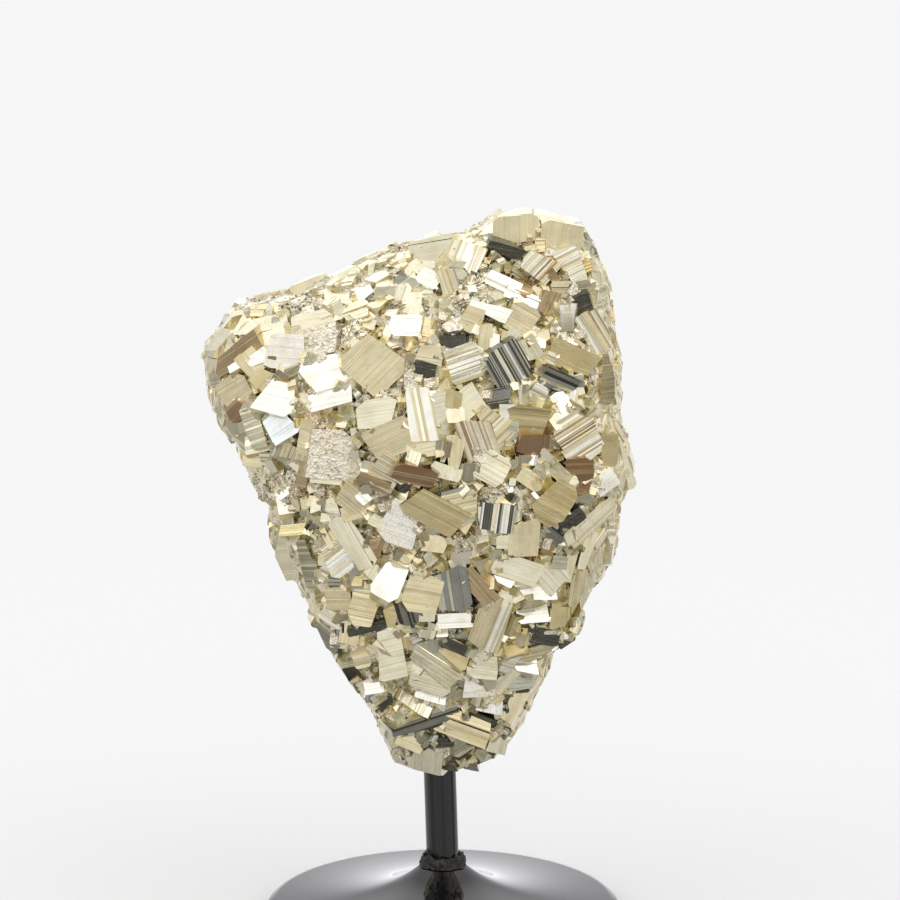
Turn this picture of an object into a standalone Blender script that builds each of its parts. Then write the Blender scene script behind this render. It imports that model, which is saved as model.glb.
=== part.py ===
"""A pyrite specimen on a display stand.

A wedge of intergrown pyrite crystals, wide at the shoulder and narrow at the foot, is drilled
from below and glued on a round steel post. The post leans a little, as set by hand, and is
welded into a flared round base. Metres, +Z up, origin at the centre of the base's underside.
"""

import math
import random

import bmesh
import bpy
from mathutils import Euler, Matrix, Vector

MM = 0.001

# Driving dimensions, in millimetres.
BASE_RADIUS = 52.0
BASE_RIM_HEIGHT = 4.0
BASE_RIM_ROUND = 1.4
BASE_TOP_RADIUS = 7.0
BASE_TOP_HEIGHT = 14.6
BASE_FLARE_LENGTH = 12.0
BASE_SEGMENTS = 48
POST_RADIUS = 4.75
POST_FOOT_HEIGHT = 6.0
POST_TOP_HEIGHT = 62.0
POST_LEAN_DEG = -1.8
POST_SEGMENTS = 32
WELD_HEIGHT = 3.1
WELD_LUMPS = 11
GAP = 0.3

# The stone's outline from the front: height, left and right.
OUTLINE = [
    (44.0, -9.0, 4.0),
    (47.0, -14.5, 7.5),
    (49.3, -15.5, 15.5),
    (56.0, -18.2, 21.5),
    (64.0, -21.8, 25.8),
    (74.0, -28.4, 30.5),
    (83.0, -33.5, 34.0),
    (87.0, -36.4, 40.0),
    (94.0, -39.6, 40.5),
    (99.0, -41.5, 42.8),
    (105.0, -44.8, 47.8),
    (113.0, -50.0, 50.4),
    (123.5, -50.0, 51.5),
    (134.0, -56.7, 55.0),
    (140.0, -59.4, 54.0),
    (147.0, -64.2, 51.5),
    (155.0, -67.5, 51.0),
    (163.0, -68.6, 51.7),
    (170.0, -68.2, 49.7),
    (175.0, -62.8, 49.1),
    (181.6, -58.5, 48.7),
    (183.4, -42.5, 48.6),
    (188.4, -30.5, 46.8),
    (195.2, -16.5, 44.2),
    (197.2, -15.0, 43.4),
    (199.0, 0.5, 42.4),
    (202.0, 9.0, 40.0),
    (205.0, 11.5, 34.0),
    (207.0, 13.0, 23.0),
]

# Its depth from the side: height, front and back.
DEPTHS = [
    (44.0, -8.0, 8.0),
    (49.0, -14.0, 12.0),
    (56.0, -19.0, 16.0),
    (64.0, -23.0, 19.0),
    (85.0, -30.0, 25.0),
    (99.0, -34.0, 28.0),
    (127.0, -37.5, 31.0),
    (141.0, -37.0, 32.0),
    (155.0, -34.0, 33.0),
    (169.0, -28.0, 33.0),
    (183.0, -19.0, 32.0),
    (197.0, -6.0, 27.0),
    (207.0, 7.0, 15.0),
]
LOWEST, HIGHEST = OUTLINE[0][0], OUTLINE[-1][0]
SECTION_POWER = 2.5
CORE_INSET = 4.5
CORE_SIDES = 20

# The large crystals of the front. Each row gives the middle of the crystal's front face across
# and up, the face's size along and across its striations, their angle, how far the face looks
# up and to the right, how far it stands out, and its habit: a block, a corner-cut block or an
# eight-sided prism.
BLOCK, CUT, OVAL = "block", "cut", "oval"
FRONT_CRYSTALS = [
    # Left shoulder.
    (-66, 165, 8, 18, -5, 5, -50, 0.0, CUT),
    (-57, 168, 16, 6, 35, -12, -15, 0.5, BLOCK),
    (-57, 176, 13, 8, 15, 35, -20, 0.0, CUT),
    (-53, 166, 8, 6, -50, 12, -10, 1.0, BLOCK),
    (-58, 158, 10, 9, 30, 6, -25, 0.0, CUT),
    (-57, 153, 6, 5, 45, -6, -20, 1.0, BLOCK),
    (-52, 149, 6, 12, 20, 8, -15, 0.5, CUT),
    (-46, 156.5, 12, 9, -15, 28, 5, 1.5, CUT),
    (-43, 169.5, 11, 9, -5, 14, -5, 0.5, CUT),
    (-32, 164, 14, 10, 18, 28, -6, 1.0, CUT),
    (-31, 157, 12, 5, 12, 24, -4, 0.8, BLOCK),
    (-19, 167, 14, 14, 45, 6, -4, 1.5, CUT),
    (-36, 177, 14, 7, 10, 30, -5, -0.5, BLOCK),
    (-36, 187, 8, 6, 30, 20, 0, 0.0, CUT),
    (-27, 190, 9, 6, 25, 25, 0, 0.0, BLOCK),
    (-18, 191, 10, 8, 10, 15, 0, 0.0, CUT),
    (-3, 196, 14, 7, 10, 10, -5, 0.0, CUT),
    # Peak.
    (16.5, 202.5, 13, 15, 90, 4, -3, 2.0, OVAL),
    (6.5, 194.5, 10, 8, -15, 26, -5, 1.0, BLOCK),
    (27, 192, 9, 9, 45, 10, 5, 2.0, BLOCK),
    (33, 200.5, 10, 11, 80, 6, 8, 1.5, CUT),
    (40, 199, 12, 8, 80, 4, 40, 0.5, CUT),
    (36, 191, 9, 12, 22, 12, 10, 1.5, CUT),
    (45, 190, 16, 9, 90, 5, 50, 0.0, CUT),
    (42.5, 173.5, 15, 7, -58, 8, 25, 1.0, BLOCK),
    (-4, 188.5, 7, 5, -30, 30, 5, 1.0, CUT),
    (8, 178, 7, 7, -20, 7, -5, 0.8, CUT),
    (22, 178, 9, 8, -30, 8, 6, 1.0, CUT),
    (-10, 176, 9, 6, -3, 30, -4, 1.2, CUT),
    (-4, 168.5, 8, 6, -8, 6, -6, 1.0, OVAL),
    (5.5, 166.5, 11, 9, 18, 12, -3, 1.2, BLOCK),
    (17.5, 166, 13, 10, -60, -8, 8, 1.8, CUT),
    (23.5, 170, 7, 6, -60, 6, 10, 0.6, BLOCK),
    (36, 167, 14, 7, -25, 3, 18, 1.2, CUT),
    (46, 161, 8, 13, 0, 4, 45, 0.3, CUT),
    # Middle, left.
    (-58, 146.5, 9, 10, -20, -18, -25, 1.0, CUT),
    (-44.5, 149, 9, 8, 35, 20, -10, 1.2, CUT),
    (-52, 144, 8, 6, 20, 12, -20, 0.0, BLOCK),
    (-29, 147, 13, 12, -8, 12, -3, 0.8, CUT),
    (-25, 131, 9, 8, -40, 4, 5, 1.2, OVAL),
    (-15, 146.5, 13, 9, 25, 6, -3, 1.0, BLOCK),
    (-16, 138, 9, 9, -30, -3, 3, 0.8, CUT),
    (-18, 153, 12, 8, 8, 14, -4, 1.0, OVAL),
    (-6.5, 153, 14, 6, -75, 18, -2, 1.5, BLOCK),
    (0, 155, 8, 9, 15, 8, 0, 0.2, CUT),
    (-5.5, 143.5, 12, 4.5, -12, -8, 0, 2.0, OVAL),
    (3.5, 143.5, 10, 5, 85, 8, -4, 0.8, CUT),
    (-25, 118, 16, 6, -60, 11, -6, 1.2, CUT),
    (-29, 112.5, 9, 9, 38, 8, -8, 1.2, CUT),
    (-37, 110, 6, 14, 5, -14, -20, 0.0, BLOCK),
    (-46, 112, 10, 16, 10, 0, -50, -0.5, CUT),
    (-12, 123.5, 12, 11, -20, 12, -4, 1.2, CUT),
    (-14.7, 110, 5, 12, -30, 28, 0, 2.0, OVAL),
    (-6, 107, 14, 10, -10, 10, 0, 1.4, CUT),
    # Middle, right.
    (9.5, 147, 13, 8, -66, 2, 5, 1.4, BLOCK),
    (14.5, 150.5, 10, 8, -40, 4, 3, 0.6, BLOCK),
    (24, 152, 13, 7, -5, -3, 4, 1.5, OVAL),
    (25, 144.5, 9, 10, 85, -9, 5, 0.8, CUT),
    (37, 144.5, 12, 14, 30, 9, 14, 2.0, OVAL),
    (46, 142, 7, 9, 0, -2, 35, 0.6, CUT),
    (52, 137, 6, 13, 0, 6, 55, 0.0, CUT),
    (30.5, 129, 11, 12, -30, -3, 8, 2.0, OVAL),
    (38.5, 132, 5, 7, -8, -8, 15, 0.8, BLOCK),
    (41, 122, 20, 5, 32, 12, 30, 1.0, CUT),
    (47, 115, 7, 12, -5, 10, 45, 0.6, CUT),
    (13.5, 138.5, 9, 8, -30, 9, 3, 1.0, CUT),
    (15, 125, 8, 9, 82, 6, 3, 1.4, BLOCK),
    (22.5, 119.5, 12, 8, 88, 7, 5, 1.6, BLOCK),
    (4.5, 129, 12, 9, 12, 7, 0, 0.8, BLOCK),
    (-2, 127, 17, 8, -28, -2, 0, 1.6, CUT),
    # Lower half.
    (-29, 101.5, 9, 7, 3, 6, -10, 0.8, BLOCK),
    (-21, 100, 9, 12, -12, 5, -6, 1.0, CUT),
    (-15, 98.5, 7, 9, -8, -3, 0, 0.6, BLOCK),
    (-8.5, 99, 9, 8, -75, -12, 0, 0.8, BLOCK),
    (1.5, 104, 13, 12, -82, -10, 0, 0.8, CUT),
    (-31.5, 89, 9, 9, -35, -14, -25, 0.3, BLOCK),
    (-14.5, 85, 9, 13, 15, 8, -3, 1.2, BLOCK),
    (-23, 84.5, 6, 8, 15, 6, -12, 0.5, BLOCK),
    (14, 95, 17, 9, 68, 4, 2, 1.5, BLOCK),
    (-1, 83, 17, 10, -35, 8, 0, 1.2, CUT),
    (-3, 77, 12, 6, -15, 8, 0, 0.8, CUT),
    (11, 82, 9, 8, -8, 12, 2, 1.0, BLOCK),
    (28.5, 91.5, 13, 5, -18, -35, 15, 1.0, OVAL),
    (25.5, 97, 9, 6, 5, 22, 10, 0.3, CUT),
    (34, 97, 11, 9, 88, -2, 25, 1.0, BLOCK),
    (40, 98, 14, 6, 85, 10, 50, 0.5, CUT),
    (26, 103, 12, 5, 5, 22, 8, 0.8, BLOCK),
    (17.5, 107.5, 7, 5, -30, 30, 5, 0.8, OVAL),
    (21, 110, 14, 6, -20, 12, 5, 0.8, CUT),
    (29.5, 108.5, 11, 8, -50, 11, 15, 0.9, CUT),
    (10, 105.5, 12, 5, -50, -2, 2, 0.9, BLOCK),
    # Foot.
    (-18, 74, 9, 4.5, 15, 26, -8, 0.8, BLOCK),
    (-10.5, 70.5, 7, 12, 62, 22, -4, 0.8, BLOCK),
    (-5.5, 65, 21, 6, 17, -10, 0, 1.5, CUT),
    (6, 62, 17, 7, -20, 10, 2, 1.8, CUT),
    (20.5, 68, 12, 8, 60, 9, 18, 0.8, BLOCK),
    (-5, 52.5, 11, 11, 85, 8, -3, 0.6, CUT),
    (15.5, 57, 8, 6, 75, 8, 20, 0.6, BLOCK),
    (-17.5, 62, 6, 6, -20, 4, -20, 0.3, BLOCK),
]
LEAST_DEPTH = 9.0
FLAT_DEG = 1.0

# How far crystals may reach out of the surface: at the back, and at the stone's outline.
BACK_REACH = 1.3
EDGE_REACH = 0.0

# The crystals of the sides, the back and the top, which follow the surface at random.
FILL_SEED = 11
FILL_TRIES = 2600
FILL_SPACING = (12.5, 16.0)
FILL_SIZE = (10.5, 16.5)
FILL_TILT_DEG = 18.0
UPPER_PITCH_SHARE = 0.8
LOWER_PITCH_SHARE = 0.5
FILL_SINK = 0.6


def new_object(name, mesh, collection):
    """An object for this mesh, in this collection."""
    made = bpy.data.objects.new(name, mesh)
    collection.objects.link(made)
    return made


def mesh_from(name, bm):
    """A mesh from a bmesh, which is freed."""
    mesh = bpy.data.meshes.new(name)
    bm.to_mesh(mesh)
    bm.free()
    return mesh


def material(name, colour, roughness, metallic):
    """A Principled material."""
    made = bpy.data.materials.new(name)
    made.use_nodes = True
    shader = made.node_tree.nodes["Principled BSDF"]
    shader.inputs["Base Color"].default_value = (*colour, 1.0)
    shader.inputs["Roughness"].default_value = roughness
    shader.inputs["Metallic"].default_value = metallic
    return made


# The stone's outer surface.


def between(table, height):
    """The two values of a table at this height, between its levels."""
    for low, high in zip(table, table[1:]):
        if height <= high[0]:
            break
    share = min(1.0, max(0.0, (height - low[0]) / (high[0] - low[0])))
    return [a + (b - a) * share for a, b in zip(low[1:], high[1:])]


def section_at(height):
    """Left, right, front and back at this height."""
    return between(OUTLINE, height) + between(DEPTHS, height)


def surface_point(turn, height, inset=0.0):
    """A point of the outer surface, by its angle round the stone and its height."""
    left, right, front, back = section_at(height)
    half_wide = (right - left) / 2 - inset
    half_deep = (back - front) / 2 - inset
    power = 2 / SECTION_POWER
    across = math.copysign(abs(math.cos(turn)) ** power, math.cos(turn))
    along = math.copysign(abs(math.sin(turn)) ** power, math.sin(turn))
    return Vector(
        ((left + right) / 2 + half_wide * across, (front + back) / 2 + half_deep * along, height)
    )


def surface_normal(turn, height):
    """The outward normal there."""
    step = 0.01
    round_way = surface_point(turn + step, height) - surface_point(turn - step, height)
    up_way = surface_point(turn, height + 1) - surface_point(turn, height - 1)
    return round_way.cross(up_way).normalized()


def turn_of(place):
    """The angle round the stone at which a point lies."""
    left, right, front, back = section_at(place.z)
    across = (place.x - (left + right) / 2) / ((right - left) / 2)
    along = (place.y - (front + back) / 2) / ((back - front) / 2)
    power = SECTION_POWER / 2
    return math.atan2(
        math.copysign(abs(along) ** power, along), math.copysign(abs(across) ** power, across)
    )


def reach_planes(place, spread):
    """Planes that touch the surface round a point. Crystals stand freely out of the front."""
    around = turn_of(place)
    height = min(HIGHEST - 0.5, max(LOWEST + 0.5, place.z))
    spots = [(around, height)]
    for step in (-0.5, -0.25, 0.25, 0.5):
        spots.append((around + step, height))
    for step in (-spread, spread):
        spots.append((around, min(HIGHEST - 0.5, max(LOWEST + 0.5, height + step))))
    planes = [
        (Vector((0, 0, HIGHEST)), Vector((0, 0, 1))),
        (Vector((0, 0, LOWEST)), Vector((0, 0, -1))),
    ]
    for turn, level in spots:
        normal = surface_normal(turn, level)
        if normal.y > -0.6:
            out = BACK_REACH if normal.y > 0.5 else EDGE_REACH
            planes.append((surface_point(turn, level) + normal * out, normal))
    return planes


def front_depth(across, height):
    """Y of the front surface at this place."""
    left, right, front, back = section_at(height)
    share = min(1.0, abs((across - (left + right) / 2) / ((right - left) / 2)))
    bulge = (1 - share**SECTION_POWER) ** (1 / SECTION_POWER)
    return (front + back) / 2 - (back - front) / 2 * bulge


def core_mesh():
    """The body under the crystals: a loft through the sections, drawn in a little."""
    bm = bmesh.new()
    rings = []
    for height, *_ in DEPTHS:
        inner = min(max(height, LOWEST + CORE_INSET / 2), HIGHEST - CORE_INSET)
        if rings and inner <= rings[-1][0].co.z / MM + 0.5:
            continue
        turns = [2 * math.pi * k / CORE_SIDES for k in range(CORE_SIDES)]
        places = [surface_point(turn, inner, CORE_INSET) for turn in turns]
        rings.append([bm.verts.new(place * MM) for place in places])
    for low, high in zip(rings, rings[1:]):
        for k in range(CORE_SIDES):
            after = (k + 1) % CORE_SIDES
            bm.faces.new((low[k], low[after], high[after], high[k]))
    bm.faces.new(list(reversed(rings[0])))
    bm.faces.new(rings[-1])
    bmesh.ops.recalc_face_normals(bm, faces=bm.faces)
    return mesh_from("core", bm)


# Crystals.


def facing(roll, pitch, yaw):
    """Turns a face that looks along -Y: about its own normal, then up, then to the right."""
    angles = [math.radians(a) for a in (roll, pitch, yaw)]
    return (
        Matrix.Rotation(angles[2], 3, "Z")
        @ Matrix.Rotation(-angles[1], 3, "X")
        @ Matrix.Rotation(-angles[0], 3, "Y")
    )


def corner_planes(wide, deep, tall, habit, chance):
    """The cuts that a habit makes: each a point on the plane and its outward normal."""
    corners = [(1, 1), (-1, 1), (-1, -1), (1, -1)]
    planes = []
    if habit == OVAL:
        reach = 0.30 * min(wide, tall)
        for sx, sz in corners:
            normal = Vector((sx / wide, 0, sz / tall)).normalized()
            planes.append((Vector((sx * (wide / 2 - reach * 0.5), 0, sz * (tall / 2 - reach * 0.5))), normal))
    elif habit == CUT:
        for sx, sz in chance.sample(corners, 2):
            reach = chance.uniform(0.18, 0.32) * min(wide, tall)
            lean = chance.uniform(0.0, 0.9)
            normal = Vector((sx, -lean, sz * chance.uniform(0.6, 1.5))).normalized()
            place = Vector((sx * (wide / 2 - reach * 0.5), -deep / 2, sz * (tall / 2 - reach * 0.5)))
            planes.append((place, normal))
    return planes


def clip(bm, place, normal):
    """Cuts off what lies beyond this plane and closes the cut."""
    whole = bm.verts[:] + bm.edges[:] + bm.faces[:]
    cut = bmesh.ops.bisect_plane(
        bm, geom=whole, plane_co=place, plane_no=normal, clear_outer=True
    )
    rim = [part for part in cut["geom_cut"] if isinstance(part, bmesh.types.BMEdge)]
    if len(rim) > 2:
        bmesh.ops.contextual_create(bm, geom=rim)


def place_crystal(name, face, turn, size, habit, chance, collection):
    """Adds a crystal whose front face has its middle at this point."""
    wide, tall = size
    deep = max(LEAST_DEPTH, (wide + tall) / 2)
    bm = bmesh.new()
    bmesh.ops.create_cube(bm, size=1.0)
    bmesh.ops.scale(bm, vec=(wide, deep, tall), verts=bm.verts)
    for place, normal in corner_planes(wide, deep, tall, habit, chance):
        clip(bm, place, normal)
    middle = face + turn @ Vector((0, deep / 2, 0))
    bmesh.ops.transform(bm, matrix=Matrix.Translation(middle) @ turn.to_4x4(), verts=bm.verts)
    for place, normal in reach_planes(face, max(wide, tall) / 2):
        clip(bm, place, normal)
    bmesh.ops.scale(bm, vec=(MM, MM, MM), verts=bm.verts)
    bmesh.ops.recalc_face_normals(bm, faces=bm.faces)
    return new_object(name, mesh_from(name, bm), collection)


def front_crystals(collection):
    """The crystals listed above. Returns the middles of their faces."""
    faces = []
    for k, (x, z, wide, tall, roll, pitch, yaw, lift, habit) in enumerate(FRONT_CRYSTALS):
        turn = facing(roll, pitch, yaw)
        face = Vector((x, front_depth(x, z), z)) + turn @ Vector((0, -lift, 0))
        chance = random.Random(k)
        place_crystal(f"front_{k}", face, turn, (wide, tall), habit, chance, collection)
        faces.append(face)
    return faces


def fill_crystals(taken, collection):
    """Crystals at random on what the list leaves bare, each clear of its neighbours' middles."""
    chance = random.Random(FILL_SEED)
    made = 0
    for _ in range(FILL_TRIES):
        turn, height = chance.uniform(0, 2 * math.pi), chance.uniform(LOWEST + 4, HIGHEST - 2)
        place, normal = surface_point(turn, height), surface_normal(turn, height)
        spacing = chance.uniform(*FILL_SPACING)
        if any((place - other).length < spacing for other in taken):
            continue
        taken.append(place)
        yaw = math.degrees(math.atan2(normal.x, -normal.y))
        pitch = math.degrees(math.asin(max(-1, min(1, normal.z))))
        pitch *= UPPER_PITCH_SHARE if pitch > 0 else LOWER_PITCH_SHARE
        lean = [chance.uniform(-FILL_TILT_DEG, FILL_TILT_DEG) for _ in range(2)]
        size = (chance.uniform(*FILL_SIZE), chance.uniform(*FILL_SIZE))
        habit = BLOCK
        place_crystal(
            f"fill_{made}",
            place - normal * FILL_SINK,
            facing(chance.uniform(0, 180), pitch + lean[0], yaw + lean[1]),
            size,
            habit,
            chance,
            collection,
        )
        made += 1


# The stand.


def stand_axis():
    """The lean of the post about the middle of the base's top."""
    pivot = Vector((0, 0, BASE_TOP_HEIGHT)) * MM
    lean = Euler((0, math.radians(POST_LEAN_DEG), 0)).to_matrix().to_4x4()
    return Matrix.Translation(pivot) @ lean @ Matrix.Translation(-pivot)


def rod(name, radius, low, high, sides, collection):
    """A round bar along the leaning axis, between two heights."""
    bm = bmesh.new()
    bmesh.ops.create_cone(
        bm,
        cap_ends=True,
        segments=sides,
        radius1=radius * MM,
        radius2=radius * MM,
        depth=(high - low) * MM,
    )
    mesh = mesh_from(name, bm)
    mesh.transform(stand_axis() @ Matrix.Translation((0, 0, (low + high) / 2 * MM)))
    return new_object(name, mesh, collection)


def base_profile():
    """The base's outer side, from its top down to its underside, as radius and height."""
    rise = BASE_TOP_HEIGHT - BASE_RIM_HEIGHT
    shoulder = BASE_RADIUS - BASE_RIM_ROUND
    points = [(0.0, BASE_TOP_HEIGHT)]
    steps = 9
    for k in range(steps + 1):
        radius = BASE_TOP_RADIUS + (shoulder - BASE_TOP_RADIUS) * (k / steps) ** 1.6
        fall = math.exp(-(radius - BASE_TOP_RADIUS) / BASE_FLARE_LENGTH)
        points.append((radius, BASE_RIM_HEIGHT + rise * fall))
    round_steps = 3
    for k in range(1, round_steps + 1):
        turn = math.pi / 2 * k / round_steps
        points.append(
            (
                shoulder + BASE_RIM_ROUND * math.sin(turn),
                BASE_RIM_HEIGHT - BASE_RIM_ROUND * (1 - math.cos(turn)),
            )
        )
    points.append((BASE_RADIUS, 0.4))
    points.append((BASE_RADIUS - 0.4, 0.0))
    points.append((0.0, 0.0))
    return points


def turned(name, profile, steps, collection):
    """A turned solid about Z from a profile of radius and height, run from its top down."""
    mesh = bpy.data.meshes.new(name)
    edges = [(k, k + 1) for k in range(len(profile) - 1)]
    mesh.from_pydata([(r * MM, 0, z * MM) for r, z in profile], edges, [])
    made = new_object(name, mesh, collection)
    screw = made.modifiers.new("turn", "SCREW")
    screw.steps = steps
    screw.render_steps = steps
    screw.use_merge_vertices = True
    screw.merge_threshold = 0.00001
    return made


def weld_bead(collection):
    """The lumpy fillet of weld round the post's foot, open in the middle for the post."""
    inner = POST_RADIUS - 0.4
    wide = BASE_TOP_RADIUS - 0.1 - inner
    profile = [(0, 0), (wide, 0), (wide, 0.25), (wide * 0.75, 0.6), (wide * 0.5, 1), (0, 1)]
    bm = bmesh.new()
    rings = []
    sides = 3 * WELD_LUMPS
    for k in range(sides):
        turn = 2 * math.pi * k / sides
        swell = 1 + 0.10 * math.sin(WELD_LUMPS * turn) + 0.07 * math.sin(3 * turn + 1)
        ring = []
        for out, height in profile:
            radius = inner + out * swell
            place = Vector((radius * math.cos(turn), radius * math.sin(turn), WELD_HEIGHT * height * swell))
            ring.append(bm.verts.new(place * MM))
        rings.append(ring)
    for k, ring in enumerate(rings):
        after = rings[(k + 1) % sides]
        for j in range(len(ring)):
            nxt = (j + 1) % len(ring)
            bm.faces.new((ring[j], after[j], after[nxt], ring[nxt]))
    bmesh.ops.recalc_face_normals(bm, faces=bm.faces)
    mesh = mesh_from("weld_bead", bm)
    mesh.transform(Matrix.Translation((0, 0, (BASE_TOP_HEIGHT + GAP) * MM)))
    return new_object("weld_bead", mesh, collection)


def boolean(target, operation, other, solver="EXACT"):
    """A Boolean modifier with an object or a collection."""
    made = target.modifiers.new(operation.lower(), "BOOLEAN")
    made.operation = operation
    made.solver = solver
    if isinstance(other, bpy.types.Collection):
        made.operand_type = "COLLECTION"
        made.collection = other
    else:
        made.object = other
    return made


def hide_helper(helper):
    """Marks a cutter, which isn't a piece of the specimen."""
    helper.hide_render = True
    helper.display_type = "WIRE"


def islands(bm):
    """The connected parts of a mesh, as lists of faces, the one with most faces first."""
    left = set(bm.faces)
    found = []
    while left:
        reached = [left.pop()]
        for face in reached:
            for edge in face.edges:
                for other in edge.link_faces:
                    if other in left:
                        left.remove(other)
                        reached.append(other)
        found.append(reached)
    return sorted(found, key=len, reverse=True)


def fuse(target, others):
    """Joins the crystals to the body for good, and fills the pockets closed in between them."""
    boolean(target, "UNION", others)
    bpy.context.view_layer.update()
    graph = bpy.context.evaluated_depsgraph_get()
    joined = bpy.data.meshes.new_from_object(target.evaluated_get(graph))
    target.modifiers.clear()
    bm = bmesh.new()
    bm.from_mesh(joined)
    pockets = [face for part in islands(bm)[1:] for face in part]
    bmesh.ops.delete(bm, geom=pockets, context="FACES")
    flat = math.radians(FLAT_DEG)
    bmesh.ops.dissolve_limit(bm, angle_limit=flat, verts=bm.verts, edges=bm.edges)
    bm.to_mesh(joined)
    bm.free()
    target.data = joined
    for other in list(others.objects):
        bpy.data.objects.remove(other)
    bpy.data.collections.remove(others)


def main():
    for old in list(bpy.data.objects):
        bpy.data.objects.remove(old)
    scene = bpy.context.scene.collection
    specimen = bpy.data.collections.new("pyrite_specimen")
    growths = bpy.data.collections.new("growths")
    cutters = bpy.data.collections.new("cutters")
    for collection in (specimen, growths, cutters):
        scene.children.link(collection)

    pyrite = material("pyrite", (0.66, 0.58, 0.38), 0.28, 1.0)
    black = material("black_steel", (0.012, 0.012, 0.013), 0.2, 0.0)
    gloss = material("gloss_black", (0.008, 0.008, 0.009), 0.12, 0.0)
    weld = material("weld", (0.07, 0.06, 0.05), 0.7, 0.4)

    base = turned("base", base_profile(), BASE_SEGMENTS, specimen)
    post = rod("post", POST_RADIUS, POST_FOOT_HEIGHT, POST_TOP_HEIGHT, POST_SEGMENTS, specimen)
    bead = weld_bead(specimen)
    stone = new_object("pyrite_cluster", core_mesh(), specimen)
    for piece, finish in ((base, gloss), (post, black), (bead, weld), (stone, pyrite)):
        piece.data.materials.append(finish)

    faces = front_crystals(growths)
    fill_crystals(faces, growths)
    fuse(stone, growths)

    room = GAP + POST_RADIUS
    low, high = POST_FOOT_HEIGHT - GAP, POST_TOP_HEIGHT + GAP
    bore = rod("post_bore", room, low, high, POST_SEGMENTS, cutters)
    hide_helper(bore)
    for piece in (stone, base, bead):
        boolean(piece, "DIFFERENCE", bore)

    for piece in (base, post):
        piece.data.shade_smooth()
        piece.data.set_sharp_from_angle(angle=math.radians(35))


main()
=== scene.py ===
import itertools
import math
import random

import bmesh
import bpy
import numpy as np
from mathutils import Matrix, Vector, kdtree, noise


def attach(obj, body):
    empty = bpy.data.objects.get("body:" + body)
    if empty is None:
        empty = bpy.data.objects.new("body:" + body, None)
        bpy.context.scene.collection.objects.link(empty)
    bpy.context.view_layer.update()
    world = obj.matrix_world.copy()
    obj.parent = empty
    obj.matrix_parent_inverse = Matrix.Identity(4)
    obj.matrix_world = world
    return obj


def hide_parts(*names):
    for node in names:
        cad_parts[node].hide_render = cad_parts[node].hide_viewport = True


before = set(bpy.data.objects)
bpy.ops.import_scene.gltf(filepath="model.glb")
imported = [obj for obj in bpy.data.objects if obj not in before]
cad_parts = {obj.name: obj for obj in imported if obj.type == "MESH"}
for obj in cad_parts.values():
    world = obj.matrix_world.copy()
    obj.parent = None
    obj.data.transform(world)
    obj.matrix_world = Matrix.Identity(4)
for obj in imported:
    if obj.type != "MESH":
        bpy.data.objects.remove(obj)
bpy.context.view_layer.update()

MM = 0.001

# The stone's outer surface, in millimetres.

# Its outline from the front: height, left and right.
OUTLINE = [
    (45, -9, 4),
    (47, -14.5, 7.5),
    (49.3, -15.5, 15.5),
    (56, -18.2, 21.5),
    (64, -21.8, 25.8),
    (74, -28.4, 30.5),
    (83, -33.5, 34),
    (87, -36.4, 40),
    (91, -38.2, 41),
    (94, -39.6, 40.2),
    (99, -41.5, 42.8),
    (105, -44.8, 47.8),
    (110, -48.2, 50),
    (114, -50, 50.4),
    (123.5, -50, 51.5),
    (126, -52.8, 51.8),
    (130, -54.4, 54),
    (134, -56.7, 55),
    (140, -59.4, 54),
    (147, -64.2, 51.5),
    (155, -67.5, 51),
    (163, -68.6, 51.7),
    (170, -68.2, 49.7),
    (175, -62.8, 49.1),
    (181.6, -58.5, 48.7),
    (183.4, -42.5, 48.6),
    (186.7, -39.6, 47.6),
    (188.4, -30.5, 46.8),
    (191.9, -25, 45.4),
    (195.2, -16.5, 44.2),
    (197.2, -15, 43.4),
    (199, 0.5, 42.4),
    (202, 9, 40),
    (205, 11.5, 34),
    (207, 13, 23),
]

# Its depth from the side: height, front and back.
DEPTHS = [
    (45, -8, 8),
    (49, -14, 12),
    (56, -19, 16),
    (64, -23, 19),
    (85, -30, 25),
    (99, -34, 28),
    (127, -37.5, 31),
    (141, -37, 32),
    (155, -34, 33),
    (169, -28, 33),
    (183, -19, 32),
    (197, -6, 27),
    (207, 7, 15),
]
SECTION_POWER = 2.5
LOWEST, HIGHEST = OUTLINE[0][0], OUTLINE[-1][0]

# How far crystals may stand out of the surface: at the front, and along the edges.
REACH = 0.7
EDGE_REACH = -0.3
FACES_FRONT = 0.5
FACES_BACK = -0.35

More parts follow.
